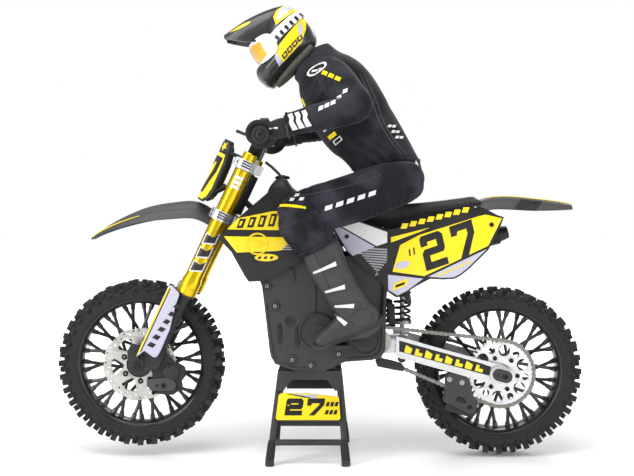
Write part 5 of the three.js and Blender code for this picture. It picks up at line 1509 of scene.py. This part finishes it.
def fanned(mesh, centre, reach, first, last, count, depth):
    """Presses folds that fan out from a bend in x and z, between two headings in degrees."""
    normals = [v.normal.copy() for v in mesh.vertices]
    for vertex, normal in zip(mesh.vertices, normals):
        dx, dz = vertex.co.x - centre[0], vertex.co.z - centre[1]
        away = hypot(dx, dz) / reach
        heading = degrees(atan2(dz, dx)) % 360
        share = (heading - first) / (last - first)
        if away < 1 and 0 < share < 1:
            fade = sin(pi * share) ** 0.5 * min(1, away * 4) * (1 - away) ** 0.6
            valley = (1 - abs(sin(pi * count * share + 1.6 * away))) ** 2
            vertex.co += normal * (depth * fade * (0.35 - valley))
    mesh.update()
    return mesh


def printed(target, outlines, way, lift=0.35, step=3.0):
    """A thin film cut to outlines in x and z, laid on a curved body from its side."""
    body = bmesh.new()
    body.from_mesh(target)
    tree = BVHTree.FromBMesh(body)
    body.free()
    film = sliced(sliced(plate(outlines, 0.3), 500, step), 500, step, 1)
    for vertex in film.vertices:
        start = Vector((vertex.co.x, way * 300, vertex.co.y))
        spot, normal, _, _ = tree.ray_cast(start, Vector((0, -way, 0)))
        if spot is None:
            spot, normal, _, _ = tree.find_nearest(Vector((vertex.co.x, way * 20, vertex.co.y)))
        vertex.co = spot + normal * (lift + vertex.co.z * 0.6)
    shape = bmesh.new()
    shape.from_mesh(film)
    return closed_mesh(shape)


# Torso, with the seat of the trousers below the waist
torso_stations = [(80, 0, 262, 14, 24), (79, 0, 268, 25, 31), (78, 0, 281, 32, 37),
    (72, 0, 297, 32.5, 37), (62, 0, 314, 33.5, 36), (50, 0, 331, 36, 38.5),
    (38, 0, 345, 39.6, 41.5), (22, 0, 371, 40, 46.5), (11, 0, 390, 36, 46), (4, 0, 404, 28, 35),
    (0, 0, 414, 19, 21), (-4, 0, 423, 14, 16)]
torso = skin_over([limb(torso_stations, 40, 36)] + [limb([(12, 0, 385, 20, 26),
    (-6, 0, 397, 19, 24), (-20, 0, 405, 15, 20)], 10)] + [limb(
    [(4, way * 30, 396, 18, 12), (13, way * 42, 388, 18, 13), (20, way * 50, 380, 15, 11)], 8)
    for way in (-1, 1)], 2.0, 8)
torso = creased(torso, [((58, -36, 306), 42, (0.5, 0, 0.85), 9, 1.0),
    ((58, 36, 306), 42, (0.5, 0, 0.85), 9, 1.0), ((92, 0, 292), 34, (0.7, 0.2, 0.7), 10, 1.0),
    ((10, -40, 372), 32, (0.85, 0, -0.5), 10, 0.9), ((10, 40, 372), 32, (0.85, 0, -0.5), 10, 0.9)])
waist_prints = []
for way in (-1, 1):
    waist_prints += [(printed(torso, [slanted_bar(69 + k * 3.8 + row * 4.6, 338.6 - k * 5.6, 3.6,
        2.7, 1.4)], way), white_print) for k in range(3) for row in range(2)]
    waist_prints += [(printed(torso, outlines, way), skin) for outlines, skin in (
        ([[(94, 296), (97, 301), (98.6, 306), (101.4, 300), (100, 294)]], white_print),
        ([[(13.6, 324.6), (21, 330), (24, 326), (16.6, 320.4)], [(15.2, 324.4), (20.8, 328.6),
        (22.4, 326.2), (16.8, 322)]], white_print), ([[(11, 326), (18, 331), (15.6, 334.6),
        (8.6, 329.6)]], yellow_print), ([[(5, 334), (9, 337), (7, 342), (2.6, 339)]], white_print),
        ([[(-17, 352), (-14, 362), (-17.5, 370), (-20.5, 362)], [(-16.6, 355), (-15.4, 362),
        (-17.2, 366), (-18.2, 361)]], yellow_print), ([[(30, 384), (33, 384), (43, 364),
        (41, 364)]], boot_skin))]
    spine = smooth_path([(40, way * 25, 392), (52, way * 30, 366), (60, way * 33, 344),
        (72, way * 33, 324), (86, way * 30, 308)], 7)
    flat = [(p.x, p.z) for p in spine]
    for shift in (0, 4.4):
        ribbon = [(x + shift, z) for x, z in flat] + [(x + shift + 1.3, z)
            for x, z in reversed(flat)]
        waist_prints.append((printed(torso, [ribbon], way, 0.45), boot_skin))
collar = swept([Vector((-3 + 15.5 * cos(a), 15.5 * sin(a), 416 + 3 * cos(a))) for a in angles(28)],
    2.0, 8, closed=True)
belt_line = [(30, 296), (50, 301.6), (67, 306.4), (78, 310.8), (98, 309.4), (112, 305), (111, 301),
    (98, 305), (78, 306), (67, 302), (50, 297), (30, 291)]
belts = [(printed(torso, [belt_line], way, 1.3), jersey_cloth) for way in (-1, 1)]
torso_parts = [(torso, jersey_cloth), (collar, jersey_cloth)] + waist_prints + belts
torso_piece = finished("rider_jersey", *apart(torso_parts), "chassis", "jersey_cloth",
    ["rider_torso"], smooth=70)
torso_piece.data.materials.append(trouser_cloth)
cloth_number = len(torso_piece.data.materials) - 1
for face in torso_piece.data.polygons:
    middle = face.center / MM
    if face.material_index == 0 and middle.z < min(309, 295 + 0.31 * (middle.x - 35)):
        face.material_index = cloth_number

# Sleeves, from the shoulders to the wrists
for side, way in SIDES:
    arm = skin_over([limb([(12, way * 38, 392, 16, 17), (18, way * 50, 385, 17.5, 17.5),
        (30, way * 71, 368, 16.5, 16.5), (38, way * 85, 357, 15, 15.5),
        (33, way * 91.5, 352, 14.4, 13), (15, way * 90.4, 347.8, 14.2, 13),
        (-6, way * 87.3, 343, 13, 12.6), (-22, way * 84.4, 339.6, 11.2, 11.2),
        (-31.4, way * 83.6, 338.4, 10.6, 10.8)], 36, 28)], 1.6, 6)
    arm = creased(arm, [((30, way * 80, 352), 26, (0.6, way * 0.3, 0.7), 7, 0.9),
        ((16, way * 55, 378), 26, (0.7, way * 0.6, 0.3), 8, 0.9),
        ((-4, way * 88, 338), 22, (1, 0, 0.2), 6, 0.45)])
    parts = [(arm, jersey_cloth)]
    for k in range(3):
        x = -26.6 + k * 6.6
        z = 346.8 + k * 1.5
        chevron = [(x - 2.4, z - 0.4), (x + 1.8, z + 1.2), (x + 3.8, z - 3), (x + 3.2, z - 6.6),
            (x + 7.8, z - 14), (x + 2.4, z - 15.2), (x - 0.8, z - 8.6), (x - 0.4, z - 4.4)]
        parts.append((printed(arm, [chevron], way), white_print))
    for k in range(5):
        x = 0.5 + k * 5.8
        z = 349.4 + k * 2.6 + (k > 2) * (k - 2) * 3.4
        parts.append((printed(arm, [[(x, z), (x + 4.6, z + 1.8), (x + 4.8, z + 5.8),
            (x + 0.6, z + 4.0)]], way), white_print))
    cuff = swept([Vector((-31.4, way * 83.6, 338.4)) + Vector((0.6 * cos(a), 11.0 * sin(a),
        10.8 * cos(a))) for a in angles(28)], 1.0, 8, closed=True)
    parts.append((cuff, jersey_cloth))
    both = bmesh.new()
    both.from_mesh(torso)
    both.from_mesh(arm)
    shoulders = closed_mesh(both)
    oval = [(-2 + 10.2 * cos(a) - 1.0 * sin(a), 396 + 5.2 * sin(a) + 4.0 * cos(a))
        for a in (k / 4 for k in range(25))]
    inner = [(-2 + (x + 2) * 0.78, 396 + (z - 396) * 0.72) for x, z in oval]
    bar = slanted_bar(-8, 393.6, 11, 2.2, 2.0)
    shoulder_prints = [(printed(shoulders, [oval, inner], way, 0.5), white_print),
        (printed(shoulders, [bar], way, 0.5), white_print)]
    for k in range(3):
        x = 3 + k * 6.4
        z = 389.4 - k * 3.6
        shoulder_prints.append((printed(shoulders, [[(x, z), (x + 5, z - 2.6), (x + 6.6, z + 1.2),
            (x + 1.8, z + 3.6)]], way, 0.5), yellow_print))
    finished("shoulder_print_" + side, *apart(shoulder_prints), "chassis", "jersey_cloth", [],
        smooth=70)
    sleeve = finished("sleeve_" + side, *apart(parts), None, "jersey_cloth", ["arm_" + side],
        smooth=70)
    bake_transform(sleeve)

# Gloves: four fingers and a thumb round the grip, with a padded back and a strap
for side, way in SIDES:
    parts = []
    for k in range(4):
        y = way * (71 + k * 7.3)
        parts.append(swept(smooth_path([(13, y, 98.5), (2, y, 101.5), (-8.2, y, 97.5),
            (-10.6, y, 89.5), (-6.4, y, 83.4), (1, y, 82.4)], 5), 4.0, 12))
    parts.append(limb([(3, way * 81.5, 95, 7, 14), (9, way * 81.8, 100, 8.6, 14.4),
        (14, way * 82.4, 104, 9.6, 12.6), (19, way * 83, 107.6, 9.4, 10.4),
        (27, way * 83.4, 112, 8.6, 9.6)], 14))
    parts.append(swept(smooth_path([(12, way * 69, 96), (10, way * 66, 88), (4, way * 67, 82.5),
        (-4, way * 72, 81.5)], 5), 4.2, 12))
    glove = skin_over(parts, 1.1, 4)
    glove = creased(glove, [((22, way * 83, 109), 12, (0.8, 0, 0.6), 4.4, 0.4)])
    knuckles = [swept([(-5.6, way * (71 + k * 7.3), 103), (1, way * (71.4 + k * 7), 106.4)], 1.8,
        8) for k in range(4)]
    strap = swept([Vector((19.5 - 6.2 * cos(a), way * 83 + 11.0 * sin(a), 108 + 8.2 * cos(a)))
        for a in angles(24)], 1.2, 6, closed=True)
    side_mark = swept([(6, way * 96.0, 99), (13, way * 95.2, 103)], 1.0, 6)
    finished("glove_" + side + "_on_grip", [glove] + knuckles + [strap, side_mark],
        [glove_cloth] + [boot_skin] * 4 + [boot_skin, white_print], "steering", "glove_cloth",
        ["glove_" + side], STEER, smooth=70)

# Legs: trousers gathered behind the knee and tucked over tall moulded boots
for side, way in SIDES:
    thigh = limb([(96, way * 38, 284, 17, 17), (86, way * 44, 283, 21.5, 19),
        (64, way * 50, 277, 24, 18.5), (40, way * 54, 268.5, 24.5, 18),
        (14, way * 57, 260.5, 24, 17.6), (-10, way * 59, 254, 22.6, 17.4),
        (-26, way * 60, 247, 19, 16.4), (-33, way * 60, 242, 14, 13)], 30)
    shin = limb([(-26, way * 60, 256, 16, 15), (-20, way * 60, 246, 22.6, 17),
        (-12, way * 60, 234, 22.4, 17.4), (-5, way * 59.6, 222, 20.6, 17.2),
        (-1.5, way * 59.2, 215.4, 19.8, 17)], 20)
    trousers = fanned(skin_over([thigh, shin], 1.6, 7), (9, 243), 44, 80, 235, 6, 3.4)
    trousers = creased(trousers, [((-22, way * 64, 236), 26, (0.3, 0, 0.95), 8.0, 0.5),
        ((66, way * 52, 278), 34, (0.9, 0, 0.3), 13.0, 0.8)])
    leg_parts = [(trousers, trouser_cloth)]
    knee_line = smooth_path([(-44, 0, 254), (-40, 0, 258.6), (-30, 0, 259.6), (-12, 0, 257.6)], 6)
    knee_stripe = ([(p.x, p.z + 1.2) for p in knee_line] + [(p.x, p.z - 1.3)
        for p in reversed(knee_line)])
    leg_parts.append((printed(trousers, [knee_stripe], way, 0.5), yellow_print))
    for row, count in ((0, 3), (1, 2)):
        for k in range(count):
            x = -38 + k * 9.4 + row * 4.8
            z = 263.4 + row * 4.2 + k * 0.6
            leg_parts.append((printed(trousers, [slanted_bar(x, z, 4.2, 2.9, 1.6)], way),
                white_print))
    for k in range(5):
        x = 6 + k * 10.6
        z = 254.2 + k * 3.4
        leg_parts.append((printed(trousers, [[(x, z), (x + 7.2, z + 2.3), (x + 8.0, z + 7.0),
            (x + 1.2, z + 4.8)]], way), white_print))
    seam = smooth_path([(-22, 0, 268), (10, 0, 274), (40, 0, 282), (62, 0, 290)], 6)
    seam_line = [(p.x, p.z + 0.35) for p in seam] + [(p.x, p.z - 0.35) for p in reversed(seam)]
    leg_parts.append((printed(trousers, [seam_line], way, 0.4), boot_skin))
    hem = swept([Vector((-3.4 + 20.6 * cos(a), way * (59.4 + way * 17.4 * sin(a) * way),
        217.4 + 8.8 * cos(a))) for a in angles(32)], 1.4, 8, closed=True)
    leg_parts.append((hem, trouser_cloth))
    shaft = limb([(0, way * 59, 224, 16, 13), (2, way * 59, 217, 19.4, 15.6),
        (6, way * 58.8, 206, 19.6, 15.8), (14, way * 58.2, 190, 18.4, 15),
        (24, way * 57.8, 173, 17.4, 14.2), (34, way * 57.4, 157, 17.4, 13.6),
        (38, way * 57.2, 150, 15, 12.6)], 24)
    foot = limb([(60, way * 57, 152, 8, 9), (55, way * 57, 150, 14, 12.2),
        (44, way * 57, 147, 18.4, 12.8), (30, way * 57, 141.4, 15.6, 12.8),
        (16, way * 57.4, 134, 10.4, 13), (4, way * 58, 127, 7.4, 12.4),
        (-2, way * 58, 123.4, 5, 10)], 24, 28, 0.75)
    boot = skin_over([shaft, foot], 1.5, 4)
    boot_parts = [(boot, boot_skin)]
    sole_line = [(62, 152), (64.6, 147), (62, 142.6), (46, 135.4), (22, 125), (4, 116.8),
        (-4, 117.4), (-7, 121.6), (-4.6, 123.4), (3, 121.6), (20, 129.6), (44, 140.2), (58, 146.6)]
    boot_parts.append((beside(plate([sole_line], 24.4, 1.2), way * 57.2), sole_rubber))
    for at, tilt, length in (((6, 198.6), 24, 23), ((16.2, 178), 17, 19), ((25.4, 161.6), 3, 18),
            ((21.4, 148), -36, 14)):
        turn = radians(tilt)
        strap = [(-length / 2, -1.0), (length / 2 - 8, -1.7), (length / 2, -2.6),
            (length / 2 + 0.6, 1.8), (length / 2 - 8, 1.5), (-length / 2, 1.1)]
        band = [(-length / 2 - 4, -2.6), (length / 2 + 5, -3.4), (length / 2 + 5, 3.2),
            (-length / 2 - 4, 2.4)]
        for line, lift, skin in ((strap, 1.1, buckle_white), (band, 0.5, case_grey)):
            outline = [(at[0] + x * cos(turn) - z * sin(turn), at[1] + x * sin(turn) + z
                * cos(turn)) for x, z in line]
            boot_parts.append((printed(boot, [outline], way, lift), skin))
    shin_guard = [(-13.5, 214), (-6, 216), (0, 204), (6, 190), (12, 176), (8, 172), (-2, 184),
        (-10, 199)]
    boot_parts.append((printed(boot, [shin_guard], way, 0.7), case_grey))
    ankle = [(30, 150), (40, 158), (50, 157), (53, 148), (46, 141), (36, 142)]
    boot_parts.append((printed(boot, [ankle], way, 0.9), case_grey))
    for k in range(9):
        x, z = 22 + k * 3.9, 214 - k * 7.2
        boot_parts.append((printed(boot, [[(x - 6, z - 3.6), (x + 3.4, z + 0.6),
            (x + 2.8, z + 2.0), (x - 6.6, z - 2.2)]], way, 0.5), grey_plastic))
    finished("leg_" + side + "_dressed", *apart(leg_parts + boot_parts), "chassis",
        "trouser_cloth", ["leg_" + side], smooth=60)

# Helmet with its chin bar and visor, and the goggles
helmet_stations = [(-56.5, 383.4, -47.4, 381, 8), (-64, 390.6, -40, 390, 17),
    (-66, 400, -29, 400, 22.4), (-60.4, 408, -19, 409.4, 25.8), (-57.4, 417, -9, 419.6, 28.4),
    (-60.6, 427, -3.4, 428.4, 29.6), (-62, 437.6, -5, 438.4, 29.6), (-58.4, 448, -9.6, 448.2, 28),
    (-51.4, 457, -17, 457.4, 23.6), (-44, 463.2, -24, 463.8, 16), (-38, 466.4, -30, 466.6, 7)]
helmet_rings = []
for i in range(45):
    fx, fz, bx, bz, wide = through(helmet_stations, i / 44)
    centre = Vector(((fx + bx) / 2, 0, (fz + bz) / 2))
    half = Vector(((fx - bx) / 2, 0, (fz - bz) / 2))
    helmet_rings.append([centre + half * cos(a) + Vector((0, wide * sin(a), 0))
        for a in angles(40)])
helmet_shell = lofted(helmet_rings)
helmet_black = finish_of("painted helmet black", (0.013, 0.013, 0.014), gloss=0.24, spread=0.12,
    coat=0.4, dust=0.04)
lens_gold = finish_of("mirrored gold lens", (0.60, 0.33, 0.015), gloss=0.12, spread=0.05,
    metal=0.8, coat=0.6, dust=0.0)
neck_foam = finish_of("neck roll foam", (0.10, 0.095, 0.085), gloss=0.75, spread=0.15, bump=0.3)
face_ahead = Vector((-0.86, 0, -0.51))
face_up = Vector((-0.51, 0, 0.86))
head_middle = Vector((-37.5, 0, 432.0))


def goggle_surface(reach, wide, high, angle, power):
    def surface(u, v):
        a = radians((u * 2 - 1) * angle)
        lift = (v - 0.5) * high * (1 - 0.97 * abs(u * 2 - 1) ** power) ** 0.5
        return (head_middle + face_ahead * (reach * cos(a) - abs(lift) * 0.06)
            + Vector((0, wide * sin(a), 0)) + face_up * lift)
    return surface


frame_mesh = shell(goggle_surface(34.0, 29.0, 25, 76, 9), 44, 8, 3.4)
lens_mesh = shell(goggle_surface(35.8, 28.6, 18, 67, 4), 44, 8, 2.6)
visor_stations = [(-38, 465.4, 13, 9), (-50, 462, 19, 22), (-64, 456.4, 20.4, 27),
    (-78, 449, 19.4, 22), (-91, 440, 17.4, 11), (-99, 434.6, 13.4, 3.6)]


def visor_skin(u, v):
    x, z, half, drop = through(visor_stations, u)
    s = v * 2 - 1
    ridge = 1.5 * max(0.0, 1 - abs(abs(s) - 0.35) / 0.12)
    return Vector((x + drop * 0.25 * abs(s) ** 4, s * half, z - drop * abs(s) ** 4 + ridge))


visor = shell(visor_skin, 30, 26, 1.8)
helmet_parts = [(helmet_shell, helmet_black), (frame_mesh, label_white), (lens_mesh, lens_gold),
    (visor, helmet_black)]
roll = skin_over([limb([(-45, 0, 384, 3.4, 9), (-36, 0, 393.5, 5, 17), (-22, 0, 408.6, 6, 22),
    (-8, 0, 424, 5, 21)], 14)], 1.6, 3)
helmet_parts.append((roll, neck_foam))
for way in (-1, 1):
    helmet_parts += [(printed(helmet_shell, [line], way, lift, 2.5), skin)
        for line, lift, skin in (([(-44, 460.4), (-38, 464.4), (-26, 464), (-21.4, 460.8),
        (-44, 443), (-47, 452)], 0.4, vivid_yellow), ([(-40.6, 460), (-34.4, 463.2), (-26.4, 462),
        (-40, 449.4), (-44, 447.4)], 0.7, lavender), ([(-61, 424.6), (-56, 427.4), (-39.9, 443.2),
        (-22.6, 459.4), (-15, 454.4), (-29.7, 439.2), (-46.4, 422.4), (-50.4, 413),
        (-56.8, 404.6)], 1.2, label_white), ([(-44.6, 418), (-18.6, 450.4), (-14.4, 452),
        (-14, 440), (-18.4, 425.4), (-37, 405.6), (-42.4, 411)], 0.5, vivid_yellow),
        ([(-45, 416.4), (-41.6, 412), (-37.6, 406), (-41.4, 401.6), (-44.6, 409)], 0.9, lavender),
        ([(-22, 442), (-18.6, 446.4), (-17.4, 437), (-21, 430.6)], 0.9, lavender))]
    for k in range(4):
        x, z = -38.4 + k * 5.0, 412.6 + k * 5.6
        zig = [(x, z), (x + 2.2, z - 4.2), (x + 6.4, z + 0.4), (x + 4.4, z + 4.6)]
        zag = [(x + 1.6, z + 0.2), (x + 2.6, z - 2.0), (x + 4.9, z + 0.5), (x + 4.0, z + 2.5)]
        helmet_parts.append((printed(helmet_shell, [zig, zag], way, 0.8, 2.0), label_black))
    for k in range(6):
        x, z = -45 + k * 4.6, 431 + k * 4.8
        mark = [(x, z), (x + 3.4, z - 3.6), (x + 5.4, z - 1.4), (x + 1.8, z + 2.2)]
        helmet_parts.append((printed(helmet_shell, [mark], way, 1.5, 2.0), label_black))
    helmet_parts.append((printed(visor, [[(-93, 437.4), (-80, 446), (-71, 449.4), (-72, 446.6),
        (-82, 441)]], way, 0.4, 2.5), vivid_yellow))
    helmet_parts.append((printed(visor, [[(-66, 444), (-52, 452), (-51, 450.6), (-65, 442.4)]],
        way, 0.4, 2.5), case_grey))
finished("helmet_and_goggles", *apart(helmet_parts), "chassis", "helmet_shell", ["helmet"],
    smooth=50)

# ---------------------------------------------------------------------------------------------
# Bench stand
# Powder-coated steel tube legs under a folded top with cut-out cheeks, on soft black feet, with
# a small printed number plate screwed to the left legs.
powder = finish_of("black powder coat", (0.030, 0.031, 0.034), gloss=0.4, spread=0.25, dull=0.15,
    fineness=1700.0, bump=0.2, dust=0.08)
for node in ("stand_top", "stand_frame"):
    paint_node(node, powder)
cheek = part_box("stand_top")[0].y / MM + 0.1
pads = [swept([(at - way * (z - 5) * 9 / 80, -50 + (z - 5) * 29 / 80, z)
    for z in (0.7, 1.6, 4.2, 10, 20, 23, 24)], 4, 16, radii=[1.8, 3.2, 4.3, 4.4, 4.1, 3.9, 3.3])
    for at, way in ((-49, -1), (27, 1))]
pads += [mirrored(pad) for pad in pads]
dimples = at_spots(turned([(0, -0.5), (1.4, -0.6), (1.6, 0), (0, 0)], 16), powder,
    [(-10, cheek, 86.0), (-36, cheek, 86.6), (16, cheek, 86.6)])
mounts_and_shade_sheet = [beside(plate([[(x, 92), (x + 3, 95.6), (x + 9, 96.4), (x + 13, 95), (x + 16, 92)]], 2.4,
    0.5), y) for x in (-36, 4) for y in (-27, 27)]
# a thin wall of black film inside the far cheek, under the folded top: painted shade for the dark
# inside of the top seen through the cut-out cheek
mounts_and_shade_sheet.append(beside(plate([[(-36, 62), (17, 62), (17.6, 86), (-37, 86)]], 1.4, 0.3), 29.4))
finished("stand_fittings", pads + [dimples] + mounts_and_shade_sheet, [rubber] * 4 + [powder] * 5 + [label_black],
    "stand", "black_metal", [])
plate_tilt = radians(19.9)
STAND_PLATE = (Matrix.Translation(centre_of("stand_number_plate"))
    @ Matrix.Rotation(-plate_tilt, 4, "X") @ UPRIGHT)
rounded = [(-33, -12.6), (-31.6, -14.4), (31.6, -14.4), (33, -12.6), (31.4, 9.4), (-1, 13),
    (-28, 13.4), (-30.4, 11.4)]
stand_films = [([rounded], 2.0, 0.0, plastic), ([[(x * 0.985, y * 0.97) for x, y in rounded]], 0.3,
    1.0, vivid_yellow), ([[(-20, 12), (8, 11.2), (10, 7.6), (4, 7.8), (-4, 9.4)]], 0.25, 1.15,
    lavender), ([[(-20, 12.4), (-4, 9.8), (2, 8.6), (3, 7.8), (-4, 8.4), (-22, 12.0)]], 0.25, 1.25,
    label_black), *(([digit(kind, x, -9.4, 17.4, 17, 0.14, 0.28)], 0.25, 1.25, label_black)
    for kind, x in (("2", -24), ("7", -2.6)))]
for row in range(2):
    for k in range(3):
        stand_films.append(([slanted_bar(17.4 + k * 4.4 - row, -0.4 - row * 8, 3.2, 4.4, 1.6)],
            0.2, 1.25, label_black))
stand_meshes = [moved(plate(lines, thick, min(0.3, thick / 4)),
    Matrix.Translation((0, 0, height - 0.1))) for lines, thick, height, _ in stand_films]
finished("stand_plate_27", stand_meshes, [film[3] for film in stand_films], "stand",
    "yellow_plastic", ["stand_number_plate"], STAND_PLATE)
